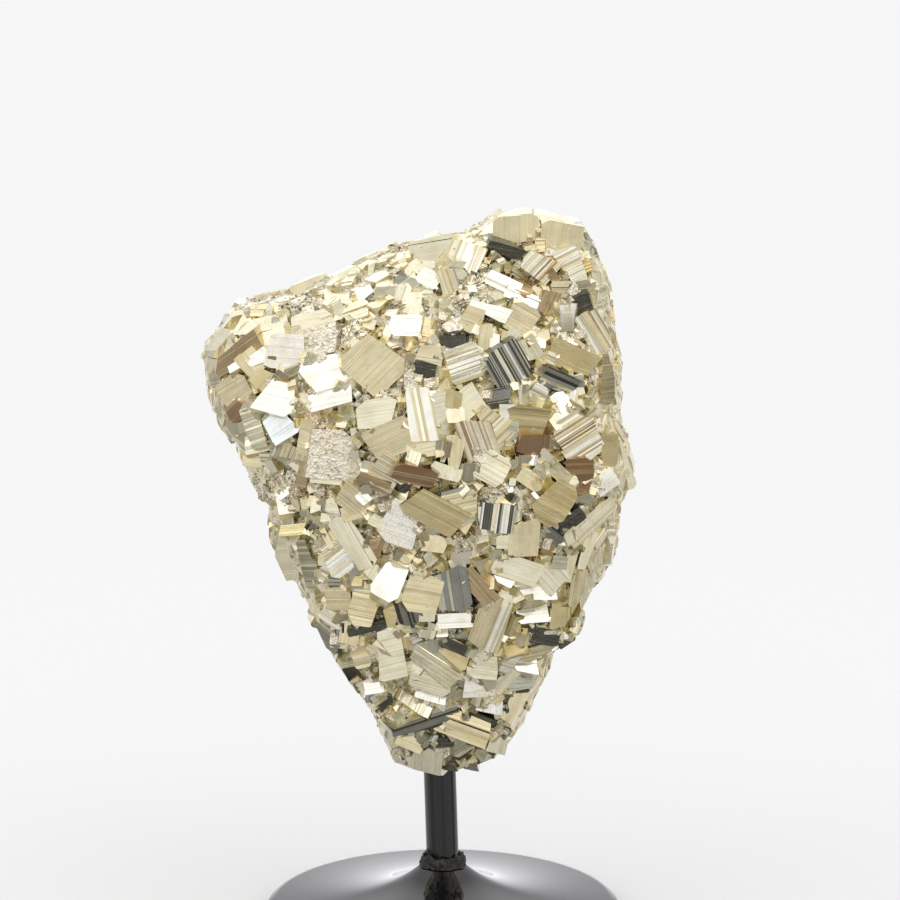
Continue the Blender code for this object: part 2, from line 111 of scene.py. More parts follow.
# Tones of the crystals: linear colour given to the metal, the least and most strength of the
# striae, how granular the faces are, and the tones of the bars that cross them. T is the plain
# brassy metal; the others are lit and shaded copies of it that paint the light a facet shows:
# W is a painted white highlight, P, L, N, M and the bluish C paint bright reflection, G, Y, D
# and the browns B and R paint dimmer reflection, and O, S and the near-black K are painted
# shade and dark reflection. The white and dark bars are painted highlight and shade likewise.
TONES = {
    "W": ((1, 0.98, 0.9), 0, 0.2, 0, "W"),
    "C": ((0.86, 0.9, 0.92), 0, 0.2, 0, "C"),
    "P": ((0.84, 0.79, 0.6), 0, 0.4, 0, "P"),
    "D": ((0.7, 0.67, 0.52), 0, 0.6, 0, "D"),
    "M": ((0.85, 0.79, 0.6), 0, 0.1, 0.15, "M"),
    "N": ((0.92, 0.85, 0.7), 0, 0.2, 1, "N"),
    "L": ((0.92, 0.88, 0.78), 0.1, 0.4, 0.2, "L"),
    "T": ((0.8, 0.71, 0.47), 0, 0.6, 0, "T"),
    "Y": ((0.74, 0.64, 0.35), 0, 0.3, 0, "Y"),
    "G": ((0.69, 0.59, 0.33), 0, 0.5, 0, "G"),
    "O": ((0.56, 0.53, 0.38), 0.2, 0.7, 0, "OOOOP"),
    "B": ((0.58, 0.45, 0.27), 0.2, 0.6, 0, "B"),
    "R": ((0.42, 0.28, 0.17), 0.2, 0.7, 0, "RRRRB"),
    "S": ((0.42, 0.42, 0.38), 0.5, 1, 0, "SSSSKP"),
    "K": ((0.11, 0.11, 0.09), 0.3, 0.6, 0.5, "K"),
    "V": ((0.9, 0.85, 0.69), 0.2, 0.5, 0, "WWTPWGWP"),
    "E": ((0.76, 0.67, 0.45), 0.3, 0.7, 0, "TTOTPGSTW"),
    "X": ((0.84, 0.76, 0.58), 0.2, 0.6, 0, "WTBPWRTP"),
    "Z": ((0.6, 0.57, 0.48), 0.3, 0.8, 0, "KSTKPSKW"),
}

# The large crystals of the front. Middle of the face across and up, its size along and across
# the striae, the angle of the striae, how far the face looks up and to the right, how far it
# stands out; then its habit (b block, c corner-cut, o eight-sided) and its tone.
FRONT = [
    # Left shoulder.
    (-66, 165, 8, 18, -5, 5, -50, 0, "cP"),
    (-57, 168, 16, 6, 35, -12, -15, 0.5, "bB"),
    (-56, 165, 8, 2.5, 40, 28, -20, 1, "bW"),
    (-57, 176, 13, 8, 15, 35, -20, 0, "cP"),
    (-53, 166, 8, 6, -50, 12, -10, 1, "bT"),
    (-50.5, 167, 6, 6, -45, 20, -5, 0.8, "bW"),
    (-47, 167, 3, 3, 0, -12, 0, 0.5, "bB"),
    (-58, 158, 10, 9, 30, 6, -25, 0, "cT"),
    (-57, 153, 6, 5, 45, -6, -20, 1, "bR"),
    (-52, 149, 6, 12, 20, 8, -15, 0.5, "cP"),
    (-46, 156.5, 12, 9, -15, 28, 5, 1.5, "cW"),
    (-43, 169.5, 11, 9, -5, 18, -5, 0.3, "cL"),
    (-42, 163, 7, 5, 30, -5, 5, 0, "bO"),
    (-44, 161.5, 5, 3, -45, -6, 0, 0.6, "bB"),
    (-32, 164, 14, 10, 18, 28, -6, 1, "cW"),
    (-31, 157, 12, 5, 12, 24, -4, 0.8, "bW"),
    (-19, 167, 14, 14, 45, 8, -4, 1.5, "cT"),
    (-36, 177, 14, 7, 10, 30, -5, -0.5, "bP"),
    (-57, 179.5, 12, 5, 10, 50, -15, 0, "cM"),
    (-50, 180, 9, 4, 0, 40, -5, 0, "bT"),
    (-50, 174, 14, 9, 15, 30, -10, 0, "cM"),
    (-39, 186, 8, 6, 60, 18, -5, 0, "cT"),
    (-29, 189, 9, 7, 35, 25, 0, 0, "bM"),
    (-20, 190, 12, 9, 10, 15, 0, 0, "cM"),
    (-36, 172, 16, 9, 10, 16, -5, 0, "cN"),
    (-22, 184.5, 6, 3, 30, 28, 0, 0.8, "bW"),
    (-12, 198, 8, 4, 0, 5, 0, 0.5, "cG"),
    (-3, 196, 14, 7, 10, 10, -5, 0, "cP"),
    # Peak.
    (21, 202.1, 9.5, 12, 90, 4, -3, 2.2, "oT"),
    (18.5, 196.3, 12, 4, -12, -6, 0, 1, "bK"),
    (6.5, 194.5, 8, 10, 70, 22, -5, 1, "bV"),
    (18.7, 192, 3, 3, 0, -5, 0, 1, "oG"),
    (27, 192, 9, 9, 45, 10, 5, 2, "bX"),
    (30.5, 190, 4, 4, 45, -10, 20, 1.6, "bB"),
    (33.5, 199.3, 10, 11, 80, 6, 8, 1.5, "cT"),
    (40, 199, 12, 8, 80, 4, 40, 0.5, "cP"),
    (36, 191, 9, 12, 22, 12, 10, 1.5, "cV"),
    (33, 186, 6, 4, 0, 5, 5, 0.5, "bT"),
    (39, 186, 6, 4, 10, -5, 10, 0.5, "bO"),
    (45, 190, 16, 9, 90, 5, 50, 0, "cP"),
    (38.5, 182, 7, 5, 20, -6, 10, 0.3, "bK"),
    (42.5, 173.5, 15, 7, -58, 8, 25, 1, "bE"),
    (-4, 188.5, 7, 5, -30, 30, 5, 1, "cW"),
    (1.5, 188, 8, 5, -72, 8, 5, 0.8, "bE"),
    (17, 187, 10, 4, -28, 32, 5, 0.8, "bW"),
    (22, 184, 10, 3.5, -25, 30, 8, 0.8, "bW"),
    (13, 180, 12, 4, -20, 26, 5, 1.2, "bW"),
    (8, 178, 7, 7, -20, 7, -5, 0.8, "cT"),
    (22, 178, 9, 8, -30, 8, 6, 1, "cT"),
    (12, 173, 9, 4, 85, 6, -4, 0.4, "bT"),
    (14.7, 172.5, 5, 2.5, 85, 28, 0, 0.6, "bW"),
    (18, 173.5, 4, 3, 0, 5, 0, 0.5, "bT"),
    (27.2, 171, 4, 2.5, 80, 28, 8, 0.6, "bW"),
    (31.5, 168.5, 3, 3, 0, 30, 8, 0.8, "bW"),
    (-10, 176, 9, 6, -3, 30, -4, 1.2, "cW"),
    (-14.3, 179, 3, 2.5, 80, 28, 0, 0.8, "bW"),
    (2, 172.5, 10, 3, 5, -6, 0, 0, "bK"),
    (-4, 168.5, 8, 6, -8, 6, -6, 1, "oT"),
    (-3.5, 165, 8, 4, -12, -6, 0, 0.3, "bK"),
    (5.5, 166.5, 11, 9, 18, 12, -3, 1.2, "bV"),
    (17.5, 166, 13, 10, -60, 2, 8, 1.8, "cZ"),
    (23.5, 170, 7, 6, -60, 6, 10, 0.6, "bP"),
    (36, 167, 14, 7, -25, 3, 18, 1.2, "cG"),
    (32.5, 161.5, 11, 5, -25, -14, 12, 0.6, "bS"),
    (46, 161, 8, 13, 0, 4, 45, 0.3, "cT"),
    # Middle, left.
    (-57.5, 143.5, 11, 12, -25, -10, -46, 1, "cO"),
    (-44.5, 149, 9, 8, 35, 20, -10, 1.2, "cC"),
    (-52, 144, 8, 6, 20, 12, -20, 0, "bP"),
    (-52, 138.5, 8, 3, 5, 8, -20, 0.3, "bT"),
    (-45, 143, 6, 6, 0, -5, -10, 0.3, "bO"),
    (-38, 147, 5, 9, -15, 4, -8, 0.5, "bT"),
    (-30.5, 142.5, 14, 13, -8, 12, -3, 0.8, "cN"),
    (-31, 136, 12, 4, -5, 8, -3, 1, "bP"),
    (-41, 142, 5, 10, 70, 6, -20, 0.5, "bE"),
    (-38, 137, 4, 8, -12, -2, -10, 0.4, "bB"),
    (-35.5, 128.5, 5, 3, 0, 15, -10, 0.5, "bP"),
    (-25, 131, 9, 8, -40, 4, 5, 1.2, "oT"),
    (-30, 128, 4, 4, 0, 15, -5, 0.8, "bP"),
    (-21.5, 130, 4.5, 3, -45, 28, 0, 1, "bW"),
    (-32, 124, 4.5, 2.5, 0, 18, -8, 0.6, "bP"),
    (-24, 126.5, 8, 4, 20, 8, -5, 0.6, "bT"),
    (-15, 146.5, 13, 9, 25, 6, -3, 1, "bT"),
    (-16, 138, 9, 9, -30, 0, 3, 0.8, "cE"),
    (-18.5, 135, 10, 4, -18, -8, 0, 1.3, "bB"),
    (-11, 134, 4, 4, 45, -6, 0, 0.3, "bK"),
    (-18, 153, 12, 8, 8, 14, -4, 1, "oP"),
    (-6, 153, 14, 7, -78, 16, -2, 1.5, "bV"),
    (0, 155, 8, 9, 15, 8, 0, 0.2, "cP"),
    (-7.2, 138, 12.6, 5, -12, -10, 0, 2.4, "oR"),
    (-6, 144, 9, 5, 12, 6, 0, 0.6, "bP"),
    (3.5, 143.5, 10, 5, 85, 8, -4, 0.8, "cT"),
    (0, 144.5, 6, 4, 80, -5, 0, 0.8, "bO"),
    (-25, 118, 16, 6, -60, 11, -6, 1.2, "cP"),
    (-29, 112.5, 9, 9, 38, 8, -8, 1.2, "cV"),
    (-37, 110, 6, 14, 5, -14, -20, 0, "bO"),
    (-40.5, 119.5, 11, 3, 10, 16, -20, 0.8, "bY"),
    (-46, 112, 10, 16, 10, 0, -50, -0.5, "cP"),
    (-12, 123.5, 12, 11, -20, 8, -4, 1, "cL"),
    (-14.7, 105.4, 11.5, 7.5, 55, 28, 0, 2.6, "oW"),
    (-5.5, 103.8, 11.5, 10.5, -10, 10, 0, 1.4, "cT"),
    (-18.5, 115.5, 5, 6, 10, -5, 0, -0.4, "bB"),
    # Middle, right.
    (9.5, 147, 13, 9, -70, 2, 5, 1.4, "bX"),
    (14.5, 150.5, 8, 12, 42, 4, 3, 0.6, "bE"),
    (3, 155.5, 9, 4, 85, -2, -3, 0.6, "bG"),
    (7, 156.5, 9, 7, 40, 8, 0, 0.6, "bP"),
    (15.5, 157, 9, 6, 10, -5, 3, -0.3, "bS"),
    (24, 152, 13, 7, -5, -3, 4, 1.5, "oG"),
    (25, 144.5, 9, 10, 85, -9, 5, 0.8, "cR"),
    (32.5, 155.5, 5, 5, 35, 28, 8, 0.8, "bW"),
    (33.7, 151.7, 5, 5, 35, 24, 10, 0.6, "bW"),
    (37, 145.5, 12, 13, 30, 9, 14, 2, "oX"),
    (37.5, 138.5, 9, 6, 0, -12, 12, 1.6, "oR"),
    (46, 142, 7, 9, 0, -2, 35, 0.6, "cG"),
    (52, 137, 6, 13, 0, 6, 55, 0, "cP"),
    (31.5, 137, 10, 4, -45, 6, 10, 0.8, "bT"),
    (30.5, 129, 11, 12, -30, -3, 8, 2, "oG"),
    (38.5, 132, 5, 7, -8, -8, 15, 0.8, "bR"),
    (45, 133, 8, 5, 30, 16, 25, 0.6, "bW"),
    (35.5, 123, 9, 4, 35, -6, 8, 0.2, "bK"),
    (30, 120, 9, 4, -40, -14, 10, 0.6, "bS"),
    (41, 122, 20, 5, 32, 12, 30, 1, "cP"),
    (47, 115, 7, 12, -5, 10, 45, 0.6, "cP"),
    (40, 114, 12, 3.5, 72, 8, 25, 0.5, "bP"),
    (35.5, 111, 12, 3, 75, 4, 20, 0.3, "bT"),
    (13.5, 138.5, 9, 8, -30, 9, 3, 1, "cP"),
    (1, 137.5, 5, 8, 80, 12, 0, 0.8, "bP"),
    (7.5, 138, 6, 5, 80, -6, 0, 0.6, "bO"),
    (18.8, 132.7, 2.5, 1.5, 90, 28, 0, 0.5, "bW"),
    (15, 125, 8, 9, 82, 6, 3, 1.4, "bZ"),
    (22.5, 119.5, 12, 8, 88, 7, 5, 1.6, "bT"),
    (16.7, 118, 4.5, 3.5, 0, 10, 0, 0.5, "bP"),
    (29, 116, 4, 3.5, 80, -8, 5, 0.6, "bB"),
    (4.5, 128, 13, 10, 12, 7, 0, 0.8, "bE"),
    (-2, 127, 17, 8, -28, -2, 0, 1.6, "cG"),
    # Lower half.
    (-23, 109, 4, 8, -5, 22, 0, 0.4, "bY"),
    (-29, 101.5, 9, 7, 3, 6, -10, 0.8, "bT"),
    (-24, 101.5, 5, 2.5, 85, -6, 0, 0.3, "bK"),
    (-29.5, 106, 5, 4, 0, -22, -8, 0.2, "bS"),
    (-21, 100, 9, 12, -12, 5, -6, 1, "cT"),
    (-15, 98.5, 7, 9, -8, -3, 0, 0.6, "bY"),
    (-19, 93, 14, 2.5, 15, -6, -4, 0.3, "bK"),
    (-8.5, 99, 9, 8, -75, -12, 0, 0.8, "bS"),
    (-4, 99.5, 9, 4, 85, 12, 0, 0.6, "bP"),
    (1.5, 104, 13, 12, -82, -10, 0, 0.8, "cS"),
    (-31, 95, 8, 5, -30, 10, -15, 0.5, "bV"),
    (-31.5, 89, 9, 9, -35, -14, -25, 0.3, "bS"),
    (-26, 91, 8, 5, 80, 6, -10, 0.4, "bT"),
    (-14.5, 85, 9, 13, 15, 8, -3, 1.2, "bP"),
    (-23, 84.5, 6, 8, 15, 6, -12, 0.5, "bT"),
    (3.5, 95, 10, 4, 3, 12, 0, 0.8, "bW"),
    (0, 91.5, 3.5, 3, 0, 28, 0, 0.6, "bW"),
    (14, 95, 17, 9, 68, 0, 2, 1.5, "bE"),
    (3, 87.5, 10, 3, -28, -6, 0, 0.3, "bK"),
    (4, 85, 9, 6, -35, 2, 0, 0.4, "bG"),
    (-1, 83, 17, 10, -35, 8, 0, 1.2, "cP"),
    (-3, 77, 12, 6, -15, 8, 0, 0.8, "cP"),
    (11, 82, 9, 8, -8, 12, 2, 1, "bP"),
    (9, 74.5, 8, 5, 5, 8, 2, 0.6, "cL"),
    (16.5, 75, 13, 4, 50, 6, 10, 0.8, "bP"),
    (22.7, 73.5, 4.5, 3, 0, -6, 10, 0.3, "bK"),
    (23, 80.5, 8, 5, -10, 26, 15, 0.6, "bW"),
    (26, 84.5, 12, 4, 10, -2, 15, 0.8, "cT"),
    (28.5, 84, 7, 4, 5, -3, 15, 1, "bG"),
    (22.5, 87.5, 3, 3, 0, -6, 10, 0.3, "bK"),
    (26.5, 90, 12, 4.5, -16, -6, 15, 0.6, "oK"),
    (25.5, 97, 9, 6, 5, 22, 10, 0.3, "cW"),
    (34, 97, 11, 9, 88, -2, 25, 1, "bG"),
    (40, 98, 14, 6, 85, 10, 50, 0.5, "cP"),
    (26, 103, 12, 5, 5, 22, 8, 0.8, "bW"),
    (17.5, 107.5, 7, 5, -30, 30, 5, 0.8, "oW"),
    (22, 106, 5, 3, 10, 28, 5, 0.6, "bW"),
    (17.5, 102.5, 5, 6, 5, 10, 3, 0.4, "bP"),
    (21, 110, 14, 6, -20, 12, 5, 0.8, "cP"),
    (29.5, 108.5, 11, 8, -50, 11, 15, 0.9, "cP"),
    (10, 105.5, 12, 5, -50, -2, 2, 0.9, "bB"),
    (37, 104, 12, 5, 82, 0, 30, 0.4, "bT"),
    # Foot.
    (-18, 74, 9, 4.5, 15, 26, -8, 0.8, "bW"),
    (-17, 68.5, 7, 5, 80, -6, -15, 0.2, "bK"),
    (-10.5, 70, 6, 15, 70, 20, -4, 0.9, "bV"),
    (-3, 72.5, 5, 8, 75, 20, 0, 0.5, "bW"),
    (-5.5, 65, 21, 6, 17, -10, 0, 1.5, "cS"),
    (6, 62, 17, 7, -20, 10, 2, 1.8, "cT"),
    (11, 65, 10, 2.5, -18, -6, 2, 0.3, "bK"),
    (13, 68.5, 5, 7, 85, 12, 5, 0.6, "bW"),
    (8.5, 68.5, 4, 3, 80, -22, 0, 0.4, "bB"),
    (20.5, 68, 12, 8, 60, 9, 18, 0.8, "bT"),
    (-9, 57, 9, 5, -25, 12, 0, 0.3, "bT"),
    (-14, 57, 8, 6, 80, -3, -15, 0.2, "bO"),
    (-5, 52.5, 11, 10, 85, 2, -3, 0.4, "cD"),
    (-4, 56.5, 6, 2, 40, -6, 0, 0.3, "bK"),
    (1, 57, 6, 3, 0, -6, 0, 0.2, "bK"),
    (10, 57, 6.5, 3, -10, -6, 5, 0.2, "bK"),
    (5, 51.5, 5, 5, 10, 0, 3, 0.3, "bD"),
    (15.5, 57, 8, 6, 75, 8, 20, 0.6, "bP"),
    (-16.5, 54, 5, 9, -15, -8, -25, 0.3, "bO"),
    (-17.5, 62, 6, 6, -20, 4, -20, 0.3, "bT"),
    (-25, 77, 5, 5, 20, 8, -20, 0.2, "bT"),
    (12.5, 201.2, 10, 6, 62, 8, -18, 0.6, "cM"),
]


def between(table, height):
    """The two values of the table at this height."""
    for low, high in zip(table, table[1:]):
        if height <= high[0]:
            break
    share = min(1.0, max(0.0, (height - low[0]) / (high[0] - low[0])))
    return [a + (b - a) * share for a, b in zip(low[1:], high[1:])]


def section_at(height):
    """The section's middle and half sizes, across and in depth, at this height."""
    left, right, front, back = between(OUTLINE, height) + between(DEPTHS, height)
    return (left + right) / 2, (front + back) / 2, (right - left) / 2, (back - front) / 2


def bent(value, power):
    """A power that keeps the sign."""
    return math.copysign(abs(value) ** power, value)


def surface_point(turn, height):
    x, y, half_wide, half_deep = section_at(height)
    power = 2 / SECTION_POWER
    across, along = bent(math.cos(turn), power), bent(math.sin(turn), power)
    return Vector((x, y, height)) + Vector((half_wide * across, half_deep * along, 0))


def surface_normal(turn, height):
    step = 0.01
    round_way = surface_point(turn + step, height) - surface_point(turn - step, height)
    up_way = surface_point(turn, height + 1) - surface_point(turn, height - 1)
    return round_way.cross(up_way).normalized()


def on_surface(turn, height):
    return surface_point(turn, height), surface_normal(turn, height)


def turn_of(place):
    x, y, half_wide, half_deep = section_at(place.z)
    power = SECTION_POWER / 2
    along = bent((place.y - y) / half_deep, power)
    return math.atan2(along, bent((place.x - x) / half_wide, power))


def front_depth(across, height):
    x, y, half_wide, half_deep = section_at(height)
    share = min(1.0, abs((across - x) / half_wide))
    bulge = (1 - share**SECTION_POWER) ** (1 / SECTION_POWER)
    return y - half_deep * bulge


def within(height):
    return min(HIGHEST - 0.5, max(LOWEST + 0.5, height))


def reach_planes(place, spread, reach, edge):
    """Planes that touch the surface round a point, each moved out by the reach."""
    around, height = turn_of(place), within(place.z)
    spots = [(around + step, height) for step in (0, -0.5, -0.25, 0.25, 0.5)]
    spots += [(around, within(height + step)) for step in (-spread, spread)]
    up = Vector((0, 0, 1))
    planes = [(up * HIGHEST, up), (up * (LOWEST - 0.5), -up)]
    for spot in spots:
        point, normal = on_surface(*spot)
        if normal.y > FACES_BACK:
            out = reach if normal.y > FACES_FRONT else EDGE_REACH + edge
            planes.append((point + normal * out, normal))
    return planes


def facing(roll, pitch, yaw):
    """Turns a face that looks along -Y: about its own normal, then up, then to the right."""
    roll, pitch, yaw = (math.radians(a) for a in (roll, pitch, yaw))
    aimed = Matrix.Rotation(yaw, 3, "Z") @ Matrix.Rotation(-pitch, 3, "X")
    return aimed @ Matrix.Rotation(-roll, 3, "Y")


# Crystals.


def new_object(name, data):
    made = bpy.data.objects.new(name, data)
    bpy.context.scene.collection.objects.link(made)
    return made


def new_mesh(name, verts, faces):
    """A mesh of points given in millimetres."""
    mesh = bpy.data.meshes.new(name)
    mesh.from_pydata([(x * MM, y * MM, z * MM) for x, y, z in verts], [], faces)
    return mesh


class Growth:
    """Faces of many crystals, gathered for one mesh."""

    def __init__(self):
        self.verts, self.faces, self.uvs, self.tints, self.grains = [], [], [], [], []

    def take(self, bm, turn, middle, grain):
        """Adds a crystal, with its faces laid out along the striae."""
        if not bm.faces:
            return
        back = turn.transposed()
        start = len(self.verts)
        bm.verts.index_update()
        layer = bm.verts.layers.float_color["tint"]
        bm.verts.ensure_lookup_table()
        tint = bm.verts[0][layer]
        local = []
        for vert in bm.verts:
            self.verts.append(vert.co[:])
            self.tints.append(vert[layer][:])
            self.grains.append(grain)
            local.append(back @ (vert.co - middle))
        for face in bm.faces:
            if face.calc_area() < 1e-6:
                continue
            self.faces.append([start + v.index for v in face.verts])
            normal = back @ face.normal
            sizes = [abs(a) for a in normal]
            main = sizes.index(max(sizes))
            u, v = ((2, 1), (0, 2), (1, 0))[main]
            shift = tint[0] * 517.0 + main * 37.0
            for vert in face.verts:
                place = local[vert.index]
                self.uvs.append((place[u] + shift, place[v] + shift))

    def object(self, name, material):
        mesh = new_mesh(name, self.verts, self.faces)
        layer = mesh.uv_layers.new(name="striae")
        layer.data.foreach_set("uv", np.array(self.uvs, dtype=np.float32).ravel())
        paint(mesh, np.array(self.tints), np.array(self.grains))
        mesh.update()
        mesh.validate()
        return add_piece(name, mesh, material, "pyrite", "pyrite_cluster")


def paint(mesh, colours, grains):
    """Gives each vertex its tint and how granular it is."""
    tint = mesh.color_attributes.new("tint", "FLOAT_COLOR", "POINT")
    tint.data.foreach_set("color", colours.astype(np.float32).ravel())
    grain = mesh.attributes.new("grain", "FLOAT", "POINT")
    grain.data.foreach_set("value", grains.astype(np.float32))


def add_piece(name, mesh, material, slot, *replaced):
    made = new_object(name, mesh)
    mesh.materials.append(material)
    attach(made, "root")
    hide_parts(*replaced)
    return made


# The least stripe, the room left between two stripes, and how far a stripe's edge may tip.
STRIPE_LEAST = 0.22
STRIPE_ROOM = 0.03
STRIPE_TIP = 0.35


def striped_profile(low, high, front, relief, stripe, lean, chance):
    """The stepped front edge of a slab: points of height and depth, each stripe leaning a bit."""
    points = []
    place = low
    while place < high - 1e-6:
        wide = min(high - place, max(STRIPE_LEAST, chance.gauss(stripe, stripe * 0.6)))
        if high - place - wide < 0.2:
            wide = high - place
        level = front - chance.uniform(0, relief)
        tip = math.tan(math.radians(chance.gauss(0, lean))) * wide / 2
        tip = max(-STRIPE_TIP, min(STRIPE_TIP, tip))
        points.append((place + STRIPE_ROOM, level - tip))
        points.append((place + wide - STRIPE_ROOM, level + tip))
        place += wide
    return points


def add_slab(bm, left, right, low, high, front, back, finish, tone, chance):
    """A prism along X whose front is striped, each stripe with a tint of its own."""
    layer = bm.verts.layers.float_color.new("tint")
    points = striped_profile(low, high, front, *finish, chance)
    outline = [(low, back)] + points + [(high, back)]
    ring_left = [bm.verts.new((left, y, z)) for z, y in outline]
    ring_right = [bm.verts.new((right, y, z)) for z, y in outline]
    count = len(outline)
    least, most = TONES[tone][1:3]
    strength = least + (most - least) * chance.random() ** 2
    # Unless the tone is granular, a side face takes at random the tone itself, W or P, which paint
    # a bright edge, or O or K, which paint a shadow on the crystal's side.
    side_light_and_shade = (tone, "W", "P", "O", "K")
    side = tone if TONES[tone][3] else chance.choices(side_light_and_shade, (4, 3, 2, 2, 1))[0]
    tints = [(*vary(side, 0.06, chance), strength)]
    # Each stripe takes a bar tone: white bars are painted highlight, dark bars painted shade.
    for _ in range(len(points) // 2):
        tints += [(*vary(chance.choice(TONES[tone][4]), 0.018, chance), strength)] * 2
    tints.append(tints[0])
    for ring in (ring_left, ring_right):
        for vert, tint in zip(ring, tints):
            vert[layer] = tint
    for k in range(count):
        after = (k + 1) % count
        bm.faces.new((ring_left[k], ring_right[k], ring_right[after], ring_left[after]))
    bm.faces.new(ring_left[::-1])
    bm.faces.new(ring_right)


def clip(bm, place, normal):
    """Cuts off what lies beyond this plane and closes the cut."""
    whole = bm.verts[:] + bm.edges[:] + bm.faces[:]
    cut = bmesh.ops.bisect_plane(bm, geom=whole, plane_co=place, plane_no=normal, clear_outer=True)
    rim = [part for part in cut["geom_cut"] if isinstance(part, bmesh.types.BMEdge)]
    if len(rim) > 2:
        bmesh.ops.holes_fill(bm, edges=rim)


CORNERS = [(1, 1), (-1, 1), (-1, -1), (1, -1)]


def habit_planes(wide, deep, tall, habit, chance):
    """The crystal's cuts: its habit's, sides that aren't quite square, and chipped corners."""
    least = min(wide, tall)
    planes = []

    def cut(place, normal):
        planes.append((Vector(place), Vector(normal).normalized()))

    if habit == "o":
        for sx, sz in CORNERS:
            reach = chance.uniform(0.24, 0.4) * least
            place = (sx * (wide - reach) / 2, 0, sz * (tall - reach) / 2)
            cut(place, (sx / wide, 0, sz / tall))
    elif habit == "c":
        for sx, sz in chance.sample(CORNERS, 2):
            reach = chance.uniform(0.18, 0.36) * least
            normal = (sx, -chance.uniform(0.0, 0.9), sz * chance.uniform(0.6, 1.5))
            cut((sx * (wide - reach) / 2, -deep / 2, sz * (tall - reach) / 2), normal)
    for sx in (-1, 1):
        slope = chance.gauss(0, 0.2)
        place = (sx * (wide / 2 - abs(slope) * tall * 0.3), 0, 0)
        cut(place, (sx, -chance.uniform(0, 0.25), slope))
    for sz in (-1, 1):
        slope = chance.gauss(0, 0.07)
        cut((0, 0, sz * (tall / 2 - abs(slope) * wide * 0.3)), (slope, 0, sz))
    for sx, sz in CORNERS:
        for _ in range(2):
            if chance.random() < 0.55:
                reach = chance.uniform(0.05, 0.3) * least
                normal = (sx * chance.uniform(0.3, 1.8), -chance.uniform(0, 1.4), sz)
                cut((sx * (wide - reach) / 2, -deep / 2, sz * (tall - reach) / 2), normal)
    return planes


def vary(tone, amount, chance):
    """The tone's colour, a little changed."""
    light = 1 + chance.uniform(-amount, amount)
    warm = chance.uniform(-amount, amount) * 0.5
    red, green, blue = TONES[tone][0]
    return red * light, green * light * (1 - warm * 0.2), blue * light * (1 - warm)


LEAST_DEPTH = 8.0
ONE_SLAB = 3.5
SLAB_OVERLAP = 0.3


def add_crystal(growth, face, turn, wide, tall, habit, lift, tone, chance):
    """One crystal, built of parallel slabs that stop at slightly different ends."""
    deep = max(LEAST_DEPTH, (wide + tall) / 2)
    middle = face + turn @ Vector((0, deep / 2, 0))
    planes = habit_planes(wide, deep, tall, habit, chance)
    outer = reach_planes(face, max(wide, tall) / 2, REACH + lift, chance.uniform(-0.5, 0.9))
    count = 1 if tall < ONE_SLAB else chance.randint(1, 3)
    cuts = sorted(chance.uniform(0.15, 0.85) for _ in range(count - 1))
    edges = [0.0] + cuts + [1.0]
    fine = len(set(TONES[tone][4])) > 3
    stripe = chance.uniform(0.3, 0.55) if fine else chance.uniform(0.4, 1.2)
    lean = 2.0 if fine else chance.choices((0.5, 1.2, 2.5, 7.0), (4, 4, 3, 2))[0]

    def loose(low, high):
        return chance.uniform(low, high) if count > 1 else 0

    for k in range(count):
        bm = bmesh.new()
        low = -tall / 2 + tall * edges[k] - (SLAB_OVERLAP if k else 0)
        high = -tall / 2 + tall * edges[k + 1]
        left, right = -wide / 2 * (1 - loose(0, 0.22)), wide / 2 * (1 - loose(0, 0.22))
        front = -deep / 2 - loose(-0.6, 0.4)
        finish = (chance.uniform(0.02, 0.18), stripe, lean)
        add_slab(bm, left, right, low, high, front, deep / 2, finish, tone, chance)
        for place, normal in planes:
            clip(bm, place, normal)
        tilt = Matrix.Rotation(math.radians(chance.gauss(0, 1.5)), 3, "X")
        tilt = tilt @ Matrix.Rotation(math.radians(chance.gauss(0, 1.5)), 3, "Z")
        move = Matrix.Translation(middle) @ (turn @ tilt).to_4x4()
        bmesh.ops.transform(bm, matrix=move, verts=bm.verts)
        for place, normal in outer:
            clip(bm, place, normal)
        bmesh.ops.recalc_face_normals(bm, faces=bm.faces)
        growth.take(bm, turn, middle, TONES[tone][3])
        bm.free()
    return middle, deep


CHIP_TONES = "PPPPDDDTTNNNWMMOOS"
PLATEAU_FROM, PLATEAU_TO = 175, 10
FOOT_TOP = 54
LOWER_TOP = 110


def on_plateau(place):
    """The low left part of the top."""
    return place.z > PLATEAU_FROM and place.x < PLATEAU_TO


def random_tone(place, chance):
    if on_plateau(place):
        return chance.choices("MPTWN", (44, 28, 16, 4, 8))[0]
    if place.z < FOOT_TOP:
        return chance.choice("DDOOSKPT")
    if place.z < LOWER_TOP:
        return chance.choices("PDTGOWSKBEV", (26, 22, 16, 5, 10, 4, 3, 3, 3, 6, 4))[0]
    return chance.choices("TPGWOBSYLNEVX", (32, 30, 9, 3, 6, 3, 3, 3, 3, 3, 6, 3, 2))[0]


# Where the front is granular, with no large crystals: middle and half sizes.
GRANULAR = [
    (-28, 174, 8, 4),
    (-38, 182, 7, 2.5),
    (33, 175, 5, 6),
    (8, 186, 8, 4),
    (-49, 145.5, 4, 3),
    (-46, 131, 9, 6),
    (-32, 134.5, 8, 5),
    (-17, 157.5, 7, 2),
    (13.5, 133, 5, 2.5),
    (8, 118, 6, 4),
    (-23, 78, 4, 3),
    (26, 97, 5, 3),
    (3, 58, 3, 2),
]

# Where it is smooth, worn matrix.
SMOOTH = [
    (-50, 108, 6, 20),
    (47, 112, 8, 14),
]
# The rims are smooth too, where they face aside, but for a ledge, and so is the crown.
RIM_FACING = 0.62
RIM_BACK = 2
RIM_TOP = 196
LEDGE = (83, 93)
CROWN = 203.5
# The zones reach this far back.
ZONES_BACK = 8

# A patch of dark specks.
SPECKS = (-38, 182, 7, 2.5)


